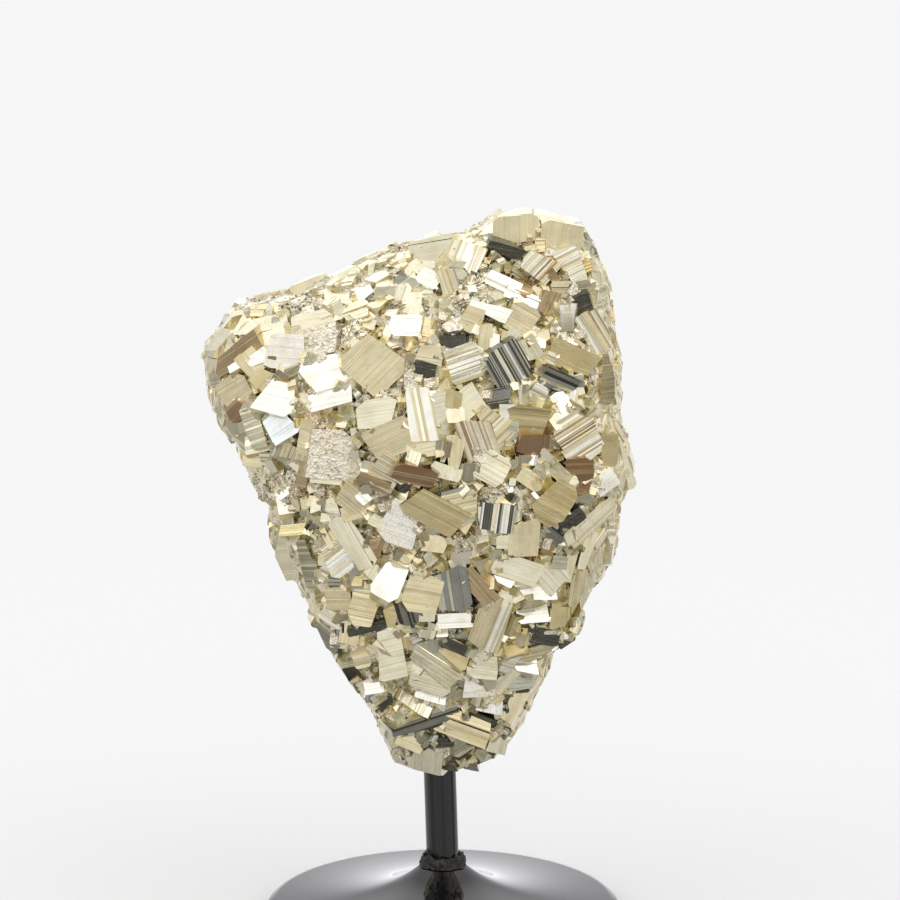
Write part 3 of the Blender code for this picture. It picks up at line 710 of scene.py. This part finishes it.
def in_zone(place, zones):
    return place.y < ZONES_BACK and any(
        ((place.x - x) / w) ** 2 + ((place.z - z) / h) ** 2 < 1 for x, z, w, h in zones
    )


def granular_place(place):
    return in_zone(place, GRANULAR)


def smooth_place(place, normal):
    rim = place.y < RIM_BACK and abs(normal.x) > RIM_FACING and place.z < RIM_TOP
    rim = rim and not LEDGE[0] < place.z < LEDGE[1]
    return not granular_place(place) and (rim or place.z > CROWN or in_zone(place, SMOOTH))


CELL = 15.0
COVER_SEARCH = 14
COVER_ROOM = 3


class Crowd:
    """The large crystals, found by place."""

    def __init__(self):
        self.crystals = []
        self.cells = {}
        self.tree = None

    def cell(self, place):
        return tuple(int(a // CELL) for a in place)

    def add(self, face, half, middle, turn, size):
        self.crystals.append((face, half, middle, turn.transposed(), size))
        self.cells.setdefault(self.cell(face), []).append((face, half))

    def sort(self):
        self.tree = kdtree.KDTree(len(self.crystals))
        for k, crystal in enumerate(self.crystals):
            self.tree.insert(crystal[0], k)
        self.tree.balance()

    def near(self, place, half, share):
        x, y, z = self.cell(place)
        for a, b, c in itertools.product((-1, 0, 1), repeat=3):
            for face, other in self.cells.get((x + a, y + b, z + c), ()):
                if (place - face).length < (half + other) * share:
                    return True
        return False

    def covers(self, place, margin):
        """Whether a point lies in a crystal or just in front of its face."""
        for _, k, gap in self.tree.find_range(place, COVER_SEARCH):
            _, half, middle, back, (wide, deep, tall) = self.crystals[k]
            if gap > half * 1.5 + COVER_ROOM:
                continue
            local = back @ (place - middle)
            if local.y < -deep / 2 - COVER_ROOM or local.y > deep / 2:
                continue
            if abs(local.x) < wide / 2 - margin and abs(local.z) < tall / 2 - margin:
                return True
        return False


# The listed crystals stand a little larger and further out than listed.
GROW = 1.12
LIFT_SHARE = 1.4
LIFT_MORE = 0.3

# The random ones: tries, least and most size, the share of their sizes that they keep apart, how
# far they stand out, how much they tilt, and how far they overlap a neighbour's border.
FILLS = [
    (5000, (6.0, 15.0), 0.7, (-0.6, 1.8), 13, 0.5),
    (14000, (4.0, 9.0), 0.43, (-1.6, 0.6), 26, 0.5),
    (14000, (2.5, 6.0), 0.4, (-0.6, 2.4), 24, 1.7),
]
FILL_SEED = 11
GRAINY_MOST = 4.8
PLATEAU_LIFT = 0.8
SMOOTH_TILT = 5


def grow(large, small):
    """The listed crystals, then like ones at random on what the list leaves bare."""
    crowd = Crowd()
    for k, (x, z, wide, tall, roll, pitch, yaw, lift, kind) in enumerate(FRONT):
        chance = random.Random(k)
        turn = facing(roll, pitch + chance.gauss(0, 2.5), yaw + chance.gauss(0, 6))
        lift = lift * LIFT_SHARE + LIFT_MORE
        face = Vector((x, front_depth(x, z), z)) + turn @ Vector((0, -lift, 0))
        wide, tall = wide * GROW, tall * GROW
        middle, deep = add_crystal(large, face, turn, wide, tall, kind[0], lift, kind[1], chance)
        crowd.add(face, max(wide, tall) / 2, middle, turn, (wide, deep, tall))
    crowd.sort()
    chance = random.Random(FILL_SEED)
    for settings in FILLS:
        fill(small if settings == FILLS[-1] else large, crowd, chance, *settings)
        crowd.sort()
    return crowd


def fill(growth, crowd, chance, tries, sizes, share, lifts, tilt, overlap):
    """Crystals at random where none of the crowd is within the share of their sizes."""
    for _ in range(tries):
        around, height = chance.uniform(0, math.tau), chance.uniform(LOWEST + 3, HIGHEST - 1.5)
        place, normal = on_surface(around, height)
        size = sizes[0] + (sizes[1] - sizes[0]) * chance.random() ** 1.4
        other = size * chance.uniform(0.55, 1.0)
        if crowd.near(place, size / 2, share) or crowd.covers(place, overlap):
            continue
        grainy, smooth = granular_place(place), smooth_place(place, normal)
        chips = overlap > 1
        if (grainy and size > GRAINY_MOST) or ((grainy or smooth) and chips):
            continue
        yaw = math.degrees(math.atan2(normal.x, -normal.y))
        pitch = math.degrees(math.asin(max(-1, min(1, normal.z))))
        pitch *= 0.8 if pitch > 0 else 0.4
        spread = SMOOTH_TILT if smooth else tilt
        roll, pitch = chance.uniform(0, 180), pitch + chance.gauss(4, spread)
        turn = facing(roll, pitch, yaw + chance.gauss(0, spread))
        lift = chance.uniform(-1.0, 0.0) if smooth else chance.uniform(*lifts)
        if on_plateau(place):
            lift = min(lift, PLATEAU_LIFT)
        face = place + turn @ Vector((0, -lift, 0))
        habit = chance.choices("bco", (6, 5, 1))[0]
        kind = random_tone(place, chance)
        if smooth or grainy:
            kind = chance.choice("MMMMMT" if smooth else "MPWNN")
        elif chips:
            kind = chance.choice(CHIP_TONES)
        lift = max(0, lift)
        middle, deep = add_crystal(growth, face, turn, size, other, habit, lift, kind, chance)
        crowd.add(place, size / 2, middle, turn, (size, deep, other))


# A section of usual size, and how much closer together its front points lie.
USUAL_SECTION = (55, 32)
FRONT_CLOSER = 1.4


def even_turns(count):
    """Turns that lie evenly along a section, a little closer together at the front."""
    fine = np.linspace(0, math.tau, 4001)
    across, along = np.cos(fine), np.sin(fine)
    power = 2 / SECTION_POWER
    x = USUAL_SECTION[0] * np.sign(across) * np.abs(across) ** power
    y = USUAL_SECTION[1] * np.sign(along) * np.abs(along) ** power
    step = np.hypot(np.diff(x), np.diff(y)) * np.where(y[1:] < 0, FRONT_CLOSER, 1.0)
    run = np.concatenate([[0], np.cumsum(step)])
    return np.interp(np.linspace(0, run[-1], count, endpoint=False), run, fine)


FACETS = 15000
FACET_SEED = 7
FACET_TILT_DEG = (5, 42)


class Ground:
    """The matrix between the crystals: many small facets, each tilted its own way."""

    def __init__(self):
        chance = random.Random(FACET_SEED)
        turns = even_turns(FACETS).tolist()
        chance.shuffle(turns)
        self.facets = []
        self.tree = kdtree.KDTree(FACETS)
        for k, turn in enumerate(turns):
            height = chance.uniform(LOWEST, HIGHEST)
            place, normal = on_surface(turn, height)
            slope = Vector([chance.gauss(0, 1) for _ in range(3)]).cross(normal).normalized()
            slope *= math.tan(math.radians(chance.uniform(*FACET_TILT_DEG)))
            swell = noise.noise(place * 0.16) * 1.1 + chance.uniform(-0.9, 0.7)
            self.facets.append((place, slope, swell))
            self.tree.insert(place, k)
        self.tree.balance()

    def level(self, place, normal):
        """How far the matrix stands out from the surface here."""
        if smooth_place(place, normal):
            return -0.4 + noise.noise(place * 0.12) * 0.8 + noise.noise(place * 0.45) * 0.35
        _, k, _ = self.tree.find(place)
        middle, slope, swell = self.facets[k]
        sunk = 0.1 if granular_place(place) else 0.9
        level = swell + slope.dot(place - middle) - sunk
        return max(MATRIX_LOWEST, min(MATRIX_HIGHEST, level))


# How far the matrix may lie from the surface, and where it lies at most under a crystal.
MATRIX_LOWEST = -2.6
MATRIX_HIGHEST = 0.7
MATRIX_COVERED = -1.6
PALE_MATRIX = (1.0, 0.93, 0.76, 1.0)
SMOOTH_MATRIX = (0.85, 0.79, 0.6, 1.0)
# The matrix outside the granular zones lies mostly sunk in the crevices between crystals; its
# darker colour is painted shade of those crevices.
CREVICE_SHADE_MATRIX = (0.82, 0.78, 0.65, 1.0)


def core(ground, crowd, material):
    """The rough matrix that shows between the crystals."""
    rings, sides = 216, 440
    turns = even_turns(sides)
    verts, faces, colours, grains = [], [], [], []
    for k in range(rings + 1):
        height = LOWEST + 0.3 + (HIGHEST - 1.8 - LOWEST) * k / rings
        for turn in turns:
            place, normal = on_surface(turn, height)
            level = ground.level(place, normal)
            smooth = smooth_place(place, normal)
            if crowd.covers(place, 1.2):
                level = min(level, MATRIX_COVERED)
            verts.append((place + normal * level)[:])
            # Outside the granular zones the matrix takes the darker colour, painted shade of the
            # crevices.
            colour = PALE_MATRIX if granular_place(place) else CREVICE_SHADE_MATRIX
            colours.append(SMOOTH_MATRIX if smooth else colour)
            grains.append(0.2 if smooth else 1.0)
    for k in range(rings):
        for j in range(sides):
            after = (j + 1) % sides
            low, high = k * sides, (k + 1) * sides
            faces.append((low + j, low + after, high + after, high + j))
    faces.append(list(range(sides))[::-1])
    faces.append([rings * sides + j for j in range(sides)])
    mesh = new_mesh("stone_core", verts, faces)
    paint(mesh, np.array(colours), np.array(grains))
    rounded = [all(grains[k] < 1 for k in face) for face in faces]
    mesh.polygons.foreach_set("use_smooth", rounded)
    return add_piece("stone_core", mesh, material, "pyrite", "pyrite_cluster")


DRUSE_SEED = 3
DRUSE_TRIES = 60000
BARE_SHARE = 0.15
SPECK_SIZE = 0.8


def druse_places(ground, crowd, chance):
    """Where tiny grains sit in the gaps: place, size, turn and tone."""
    spots = []
    for _ in range(DRUSE_TRIES):
        around, height = chance.uniform(0, math.tau), chance.uniform(LOWEST + 0.5, HIGHEST - 0.5)
        place, normal = on_surface(around, height)
        bare = granular_place(place) or chance.random() <= BARE_SHARE
        if not bare or smooth_place(place, normal) or crowd.covers(place, 0.0):
            continue
        size = 0.8 + 2.0 * chance.random() ** 2
        dark = in_zone(place, [SPECKS]) and chance.random() < 0.6
        # One grain in eight takes W, a painted white glint.
        tone = "S" if dark else chance.choice("TPPPNNNW")
        size = SPECK_SIZE if dark else size
        turn = normal.to_track_quat("Z", "Y").to_matrix()
        turn = turn @ Matrix.Rotation(chance.uniform(0, 6.3), 3, "Z")
        turn = turn @ Matrix.Rotation(chance.gauss(0, 0.45), 3, "X")
        place = place + normal * (ground.level(place, normal) + (0.3 if dark else -size * 0.2))
        spots.append((place, size, turn, tone))
    return spots


def grains(name, spots, chance, material):
    """A tiny block at each spot."""
    cube = [Vector((x, y, z)) / 2 for x in (-1, 1) for y in (-1, 1) for z in (-1, 1)]
    sides = [(0, 1, 3, 2), (4, 6, 7, 5), (0, 4, 5, 1), (2, 3, 7, 6), (0, 2, 6, 4), (1, 5, 7, 3)]
    verts, faces, colours = [], [], []
    for k, (place, size, turn, tone) in enumerate(spots):
        stretch = Matrix.Diagonal([size * chance.uniform(0.4, 1.0) for _ in range(3)])
        verts += [(place + turn @ stretch @ corner)[:] for corner in cube]
        faces += [[8 * k + corner for corner in side] for side in sides]
        colours += [(*vary(tone, 0.1, chance), 1.0)] * 8
    mesh = new_mesh(name, verts, faces)
    paint(mesh, np.array(colours), np.ones(len(verts)))
    return add_piece(name, mesh, material, "pyrite", "pyrite_cluster")


# The stand.

BASE_RADIUS = 52.0
BASE_RIM_HEIGHT = 4.0
BASE_RIM_ROUND = 1.4
BASE_TOP_RADIUS = 7.0
BASE_TOP_HEIGHT = 14.6
BASE_FLARE_LENGTH = 12.0
POST_RADIUS = 4.75
POST_TOP_HEIGHT = 62.0
POST_LEAN_DEG = -1.8
WELD_FOOT = 14.9
WELD_HEIGHT = 3.1
GAP = 0.3
SHARP_DEG = 50


def lathe(name, profile, sides, lean, material, slot, replaced, rough=None):
    """A turned piece from a profile of radius and height that runs from the top down."""
    verts, faces = [], []
    for radius, height in profile:
        for k in range(sides):
            turn = math.tau * k / sides
            place = Vector((radius * math.cos(turn), radius * math.sin(turn), height))
            if rough:
                place = rough(place, turn)
            verts.append(place)
    for k in range(len(profile) - 1):
        high, low = k * sides, (k + 1) * sides
        for j in range(sides):
            after = (j + 1) % sides
            faces.append((high + j, low + j, low + after, high + after))
    pivot = Matrix.Translation((0, 0, BASE_TOP_HEIGHT))
    leaning = pivot @ Matrix.Rotation(math.radians(lean), 4, "Y") @ pivot.inverted()
    mesh = new_mesh(name, [leaning @ place for place in verts], faces)
    bm = bmesh.new()
    bm.from_mesh(mesh)
    bmesh.ops.remove_doubles(bm, verts=bm.verts, dist=1e-6)
    bmesh.ops.holes_fill(bm, edges=[e for e in bm.edges if e.is_boundary])
    bmesh.ops.recalc_face_normals(bm, faces=bm.faces)
    bm.to_mesh(mesh)
    bm.free()
    mesh.shade_smooth()
    mesh.set_sharp_from_angle(angle=math.radians(SHARP_DEG))
    return add_piece(name, mesh, material, slot, replaced)


def base_profile():
    shoulder = BASE_RADIUS - BASE_RIM_ROUND
    points = [(3.0, BASE_TOP_HEIGHT), (BASE_TOP_RADIUS - 0.5, BASE_TOP_HEIGHT)]
    for k in range(49):
        radius = BASE_TOP_RADIUS + (shoulder - BASE_TOP_RADIUS) * (k / 48) ** 1.5
        fall = math.exp(-(radius - BASE_TOP_RADIUS) / BASE_FLARE_LENGTH)
        points.append((radius, BASE_RIM_HEIGHT + (BASE_TOP_HEIGHT - BASE_RIM_HEIGHT) * fall))
    for k in range(1, 9):
        turn = math.pi / 2 * k / 8
        out, down = BASE_RIM_ROUND * math.sin(turn), BASE_RIM_ROUND * (1 - math.cos(turn))
        points.append((shoulder + out, BASE_RIM_HEIGHT - down))
    points += [(BASE_RADIUS, 0.4), (BASE_RADIUS - 0.12, 0.12), (BASE_RADIUS - 0.4, 0.0), (3.0, 0.0)]
    return points


def stand(gloss, weld):
    lathe("base_turned", base_profile(), 160, 0, gloss, "gloss_black", "base")
    bar = [(POST_RADIUS, POST_TOP_HEIGHT - 2 * k) for k in range(29)]
    lathe("post_bar", bar, 72, POST_LEAN_DEG, gloss, "black_steel", "post")
    inner = POST_RADIUS + GAP
    wide = BASE_TOP_RADIUS - 0.1 - inner
    steps = [k / 8 for k in range(9)]
    ring = [(inner, WELD_FOOT + WELD_HEIGHT)]
    for k in steps:
        out, up = wide * (0.35 + 0.65 * k**0.8), WELD_HEIGHT * (1 - k**1.3)
        ring.append((inner + out, WELD_FOOT + up))
    ring += [(inner, WELD_FOOT), (inner, WELD_FOOT + WELD_HEIGHT)]

    def lumpy(place, turn):
        spot = Vector((math.cos(turn) * 2.2, math.sin(turn) * 2.2, place.z * 0.5))
        swell = 1 + noise.noise(spot) * 0.35 + noise.noise(place * 1.5) * 0.25
        flat = Vector((place.x, place.y, 0))
        out = flat.normalized() * inner
        rise = (place.z - WELD_FOOT) * swell
        return out + (flat - out) * swell + Vector((0, 0, WELD_FOOT + rise))

    lathe("weld_ring", ring, 120, 0, weld, "weld", "weld_bead", lumpy)


# Materials.


class Nodes:
    """Adds nodes to a tree: settings by name, inputs by name or number."""

    def __init__(self, tree):
        self.tree = tree
        tree.nodes.clear()

    def add(self, kind, inputs=None, **settings):
        made = self.tree.nodes.new("ShaderNode" + kind)
        for key, value in settings.items():
            setattr(made, key, value)
        for key, value in (inputs or {}).items():
            self.feed(made.inputs[key], value)
        return made

    def feed(self, socket, value):
        if isinstance(value, bpy.types.NodeSocket):
            self.tree.links.new(value, socket)
        else:
            socket.default_value = value

    def math(self, operation, first, second=0.0, clamp=False):
        made = self.add("Math", {0: first, 1: second}, operation=operation, use_clamp=clamp)
        return made.outputs[0]

    def ramp(self, factor, stops):
        made = self.add("ValToRGB", {"Fac": factor})
        elements = made.color_ramp.elements
        while len(elements) < len(stops):
            elements.new(0.5)
        for element, (place, value) in zip(elements, stops):
            element.position = place
            element.color = (*(value if isinstance(value, tuple) else (value,) * 3), 1.0)
        return made.outputs["Color"]

    def mix(self, factor, first, second, blend="MIX"):
        made = self.add("Mix", data_type="RGBA", blend_type=blend)
        for key, value in ((0, factor), (6, first), (7, second)):
            self.feed(made.inputs[key], value)
        return made.outputs[2]

    def product(self, first, second):
        return self.math("MULTIPLY", first, second)

    def sum(self, first, second):
        return self.math("ADD", first, second)

    def tinted(self, colour, tint):
        return self.mix(1.0, colour, tint, "MULTIPLY")

    def smooth_step(self, value, low, high):
        inputs = {"Value": value, "From Min": low, "From Max": high}
        return self.add("MapRange", inputs, interpolation_type="SMOOTHSTEP").outputs[0]

    def noise(self, vector, scale, detail=2.0, roughness=0.5):
        inputs = {"Vector": vector, "Scale": scale, "Detail": detail, "Roughness": roughness}
        return self.add("TexNoise", inputs).outputs[0]

    def line_noise(self, place, scale, roughness):
        inputs = {"W": place, "Scale": scale, "Detail": 2.0, "Roughness": roughness}
        return self.add("TexNoise", inputs, noise_dimensions="1D").outputs[0]

    def stretched_noise(self, vector, along, across, roughness=0.5):
        mapped = self.add("Mapping", {"Vector": vector, "Scale": (along, across, 1.0)})
        return self.noise(mapped.outputs[0], 1.0, roughness=roughness)


def new_material(name):
    """The material, its nodes and the place on the object."""
    made = bpy.data.materials.new(name)
    made.use_nodes = True
    n = Nodes(made.node_tree)
    return made, n, n.add("TexCoord").outputs["Object"]


def finish_material(n, colour, roughness, metallic, height, distance, strength, density=1.5):
    bump = n.add("Bump", {"Height": height, "Distance": distance, "Strength": strength})
    inputs = {"Base Color": colour, "Roughness": roughness, "Metallic": metallic, "IOR": density}
    shader = n.add("BsdfPrincipled", {**inputs, "Normal": bump.outputs[0]})
    n.add("OutputMaterial", {"Surface": shader.outputs[0]})


def pyrite_material():
    made, n, object_place = new_material("pyrite_crystal")
    source = n.add("Attribute", attribute_name="tint")
    tint, striped = source.outputs["Color"], source.outputs["Alpha"]
    grain = n.add("Attribute", attribute_name="grain").outputs["Fac"]
    striae = n.add("UVMap", uv_map="striae").outputs[0]
    across = n.add("SeparateXYZ", {0: striae}).outputs[1]
    seeded = n.sum(across, n.product(striped, 40))
    broad = n.line_noise(seeded, 1.6, 0.55)
    thin = n.line_noise(seeded, 3.6, 0.7)
    worn = n.ramp(n.stretched_noise(striae, 0.06, 0.45), [(0.44, 0.1), (0.62, 1)])
    broken = n.ramp(n.stretched_noise(striae, 0.07, 2.2, 0.6), [(0.4, 0.3), (0.5, 1)])
    strength = n.product(n.product(worn, broken), striped)
    lines = n.sum(n.product(broad, 0.6), n.product(thin, 0.4))
    # Painted shade and highlight across the striae: the face darkens where the broad noise is low
    # and brightens a little where it is high.
    striae_shading = n.ramp(broad, [(0.38, 0.8), (0.47, 1), (0.55, 1), (0.62, 1.06)])
    soft = n.stretched_noise(striae, 0.16, 0.3)
    cloud = n.ramp(soft, [(0.35, (0.94, 0.93, 0.89)), (0.5, 1), (0.65, (1.04, 1.05, 1.04))])
    striae_shading = n.mix(striped, (1, 1, 1, 1), striae_shading)
    base = n.tinted(tint, n.tinted(striae_shading, cloud))
    # Thin dark lines along the striae: painted shade of the grooves.
    dark = n.ramp(thin, [(0.32, (0.42, 0.39, 0.3)), (0.36, 1)])
    colour = n.mix(n.math("MULTIPLY", strength, 0.9, True), base, n.tinted(base, dark))
    # Thin pale lines beside them: painted highlight along the striae.
    light = n.ramp(thin, [(0.6, 0), (0.64, 1)])
    light = n.product(light, n.product(strength, 0.6))
    colour = n.mix(light, colour, (0.9, 0.87, 0.75, 1))
    tarnish = n.noise(object_place, 110, 3, 0.55)
    warmth = n.ramp(tarnish, [(0.32, (0.9, 0.89, 0.86)), (0.5, 1), (0.7, (1, 0.95, 0.85))])
    colour = n.tinted(colour, warmth)
    crumple = n.add("TexNoise", {"Vector": object_place, "Scale": 700, "Detail": 2})
    inputs = {0: crumple.outputs["Color"], 1: (0.0022,) * 3, 2: object_place}
    moved = n.add("VectorMath", inputs, operation="MULTIPLY_ADD")
    grains = n.add("TexVoronoi", {"Vector": moved.outputs[0], "Scale": 1100})
    shade = n.ramp(grains.outputs["Color"], [(0.15, 0.6), (0.4, 0.95), (1, 1)])
    colour = n.mix(grain, colour, n.tinted(colour, shade))
    specks = n.noise(object_place, 1100)
    # Dark specks: painted shade in tiny pits.
    pit_shade = n.ramp(specks, [(0.22, (0.6, 0.57, 0.5)), (0.29, 1)])
    colour = n.tinted(colour, pit_shade)
    rough = n.sum(n.product(tarnish, 0.22), 0.13)
    height = n.product(n.math("SUBTRACT", lines, 0.5), strength)
    height = n.sum(height, n.sum(n.product(specks, 0.1), n.product(soft, 0.35)))
    coarse = n.product(grains.outputs["Distance"], n.product(grain, 0.9))
    metal = n.math("SUBTRACT", 1, n.product(grain, 0.3))
    finish_material(n, colour, rough, metal, n.sum(height, coarse), 0.00035, 0.9)
    return made


def granular_material():
    made, n, object_place = new_material("pyrite_granular")
    tint = n.add("Attribute", attribute_name="tint").outputs["Color"]
    grain = n.add("Attribute", attribute_name="grain").outputs["Fac"]
    warp = n.noise(object_place, 700)
    grains = n.add("TexVoronoi", {"Vector": object_place, "Scale": 1300})
    coarse = n.add("TexVoronoi", {"Vector": object_place, "Scale": 500})
    shade = n.ramp(grains.outputs["Color"], [(0.16, 0.3), (0.24, 0.95), (1, 1)])
    patches = n.ramp(coarse.outputs["Color"], [(0.1, 0.8), (0.5, 1)])
    rugged = n.tinted(n.tinted(tint, shade), patches)
    stain = n.noise(object_place, 160, 3, 0.6)
    stain = n.ramp(stain, [(0.35, (0.78, 0.75, 0.66)), (0.55, 1)])
    colour = n.tinted(n.mix(grain, tint, rugged), stain)
    tilt = n.sum(n.product(grains.outputs["Distance"], 0.5), n.product(warp, 0.5))
    tilt = n.product(tilt, n.sum(n.product(grain, 0.8), 0.2))
    rough = n.sum(n.product(warp, 0.25), n.product(n.math("SUBTRACT", 1.2, grain), 0.3))
    finish_material(n, colour, n.sum(rough, 0.06), 0.8, tilt, 0.00045, 1)
    return made


def gloss_material():
    made, n, object_place = new_material("gloss_black_paint")
    peel = n.noise(object_place, 260)
    dust = n.noise(object_place, 1500, 1, 0.5)
    dust = n.ramp(dust, [(0.66, 0), (0.76, 1)])
    colour = n.mix(dust, (0.006, 0.0055, 0.0065, 1), (0.035, 0.032, 0.034, 1))
    rough = n.sum(n.product(peel, 0.06), 0.03)
    finish_material(n, colour, rough, 0, peel, 0.00005, 0.2, 1.6)
    return made


def weld_material():
    made, n, object_place = new_material("weld_metal")
    lumps = n.noise(object_place, 900, 4, 0.6)
    tones = [(0.3, (0.008, 0.007, 0.006)), (0.55, (0.03, 0.027, 0.022)), (0.75, (0.11, 0.09, 0.07))]
    colour = n.ramp(lumps, tones)
    rough = n.sum(n.product(lumps, 0.4), 0.3)
    finish_material(n, colour, rough, 0.35, lumps, 0.0006, 0.8)
    return made


# Studio.


def direction(azimuth, elevation):
    """A unit vector; azimuth 0 is towards -Y, the front, and 90 towards +X."""
    azimuth, elevation = math.radians(azimuth), math.radians(elevation)
    flat = math.cos(elevation)
    return (flat * math.sin(azimuth), -flat * math.cos(azimuth), math.sin(elevation))


PATCHES = [
    # azimuth, elevation, inner and outer radius in degrees, colour it mixes towards
    (180, -35, 40, 95, (0.8, 0.79, 0.77)),
    (180, 22, 30, 70, (0.86, 0.85, 0.88)),
    (180, 0, 5, 22, (1.85, 1.82, 1.88)),
    (-70, 38, 12, 30, (1.7, 1.7, 1.7)),
    (60, 50, 10, 28, (1.7, 1.7, 1.7)),
    (180, 50, 14, 34, (1.7, 1.7, 1.7)),
    (-38, 8, 3, 13, (0.26, 0.25, 0.22)),
    (34, 12, 3, 13, (0.24, 0.24, 0.23)),
    (95, -5, 6, 18, (0.26, 0.25, 0.22)),
    (-105, 0, 6, 18, (0.26, 0.26, 0.25)),
    (15, -26, 6, 16, (0.46, 0.4, 0.32)),
    (-65, -15, 6, 16, (0.46, 0.4, 0.32)),
    (70, 12, 5, 13, (0.5, 0.44, 0.35)),
]


def studio():
    world = bpy.data.worlds.new("studio")
    bpy.context.scene.world = world
    world.use_nodes = True
    n = Nodes(world.node_tree)
    way = n.add("TexCoord").outputs["Generated"]
    height = n.add("SeparateXYZ", {0: way}).outputs[2]
    level = n.sum(n.product(n.math("ARCSINE", height), 1 / math.pi), 0.5)
    stops = [
        (0.0, 0.22), (0.22, 0.28), (0.33, 0.4), (0.43, 0.64), (0.5, 0.86),
        (0.58, 0.95), (0.66, 1.06), (0.78, 1.2), (1.0, 1.16),
    ]
    sky = n.ramp(level, [(place, value / 2) for place, value in stops])
    sky = n.tinted(sky, (2, 2, 2, 1))
    for azimuth, elevation, inner, outer, colour in PATCHES:
        ways = {0: way, 1: direction(azimuth, elevation)}
        near = n.add("VectorMath", ways, operation="DOT_PRODUCT").outputs["Value"]
        least, most = (math.cos(math.radians(angle)) for angle in (outer, inner))
        sky = n.mix(n.smooth_step(near, least, most), sky, (*colour, 1.0))
    seen = n.add("LightPath").outputs["Is Camera Ray"]
    light = n.add("Background", {"Color": sky})
    backdrop = n.add("Background", {"Color": (0.925, 0.925, 0.925, 1)})
    both = n.add("MixShader", {0: seen, 1: light.outputs[0], 2: backdrop.outputs[0]})
    n.add("OutputWorld", {"Surface": both.outputs[0]})


FLOOR_RADIUS = 1.2
FLOOR_FADE = (0.12, 0.9)


def floor():
    """A pale floor that fades into the backdrop."""
    mesh = bpy.data.meshes.new("floor")
    bm = bmesh.new()
    bmesh.ops.create_circle(bm, cap_ends=True, segments=96, radius=FLOOR_RADIUS)
    bm.to_mesh(mesh)
    bm.free()
    made = new_object("floor", mesh)
    made.location = (0, 0, -0.0002)
    material, n, object_place = new_material("floor_white")
    away = n.add("VectorMath", {0: object_place}, operation="LENGTH").outputs["Value"]
    clear = n.smooth_step(away, *FLOOR_FADE)
    white = n.add("BsdfDiffuse", {"Color": (0.745, 0.745, 0.75, 1)})
    glass = n.add("BsdfTransparent")
    both = n.add("MixShader", {0: clear, 1: white.outputs[0], 2: glass.outputs[0]})
    n.add("OutputMaterial", {"Surface": both.outputs[0]})
    mesh.materials.append(material)
    made.visible_glossy = False


def camera():
    data = bpy.data.cameras.new("camera")
    data.lens = 108
    data.sensor_width = 36
    made = new_object("camera", data)
    made.location = (0.0021, -0.7695, 0.2533)
    made.rotation_euler = (math.radians(81.5), 0, 0)
    bpy.context.scene.camera = made


bpy.context.scene.view_settings.view_transform = "Standard"
crystal = pyrite_material()
granular = granular_material()
camera()
studio()
floor()
stand(gloss_material(), weld_material())
ground = Ground()
large, small = Growth(), Growth()
crowd = grow(large, small)
large.object("stone_crystals", crystal)
small.object("stone_small_crystals", crystal)
core(ground, crowd, granular)
chance = random.Random(DRUSE_SEED)
grains("stone_druse", druse_places(ground, crowd, chance), chance, granular)
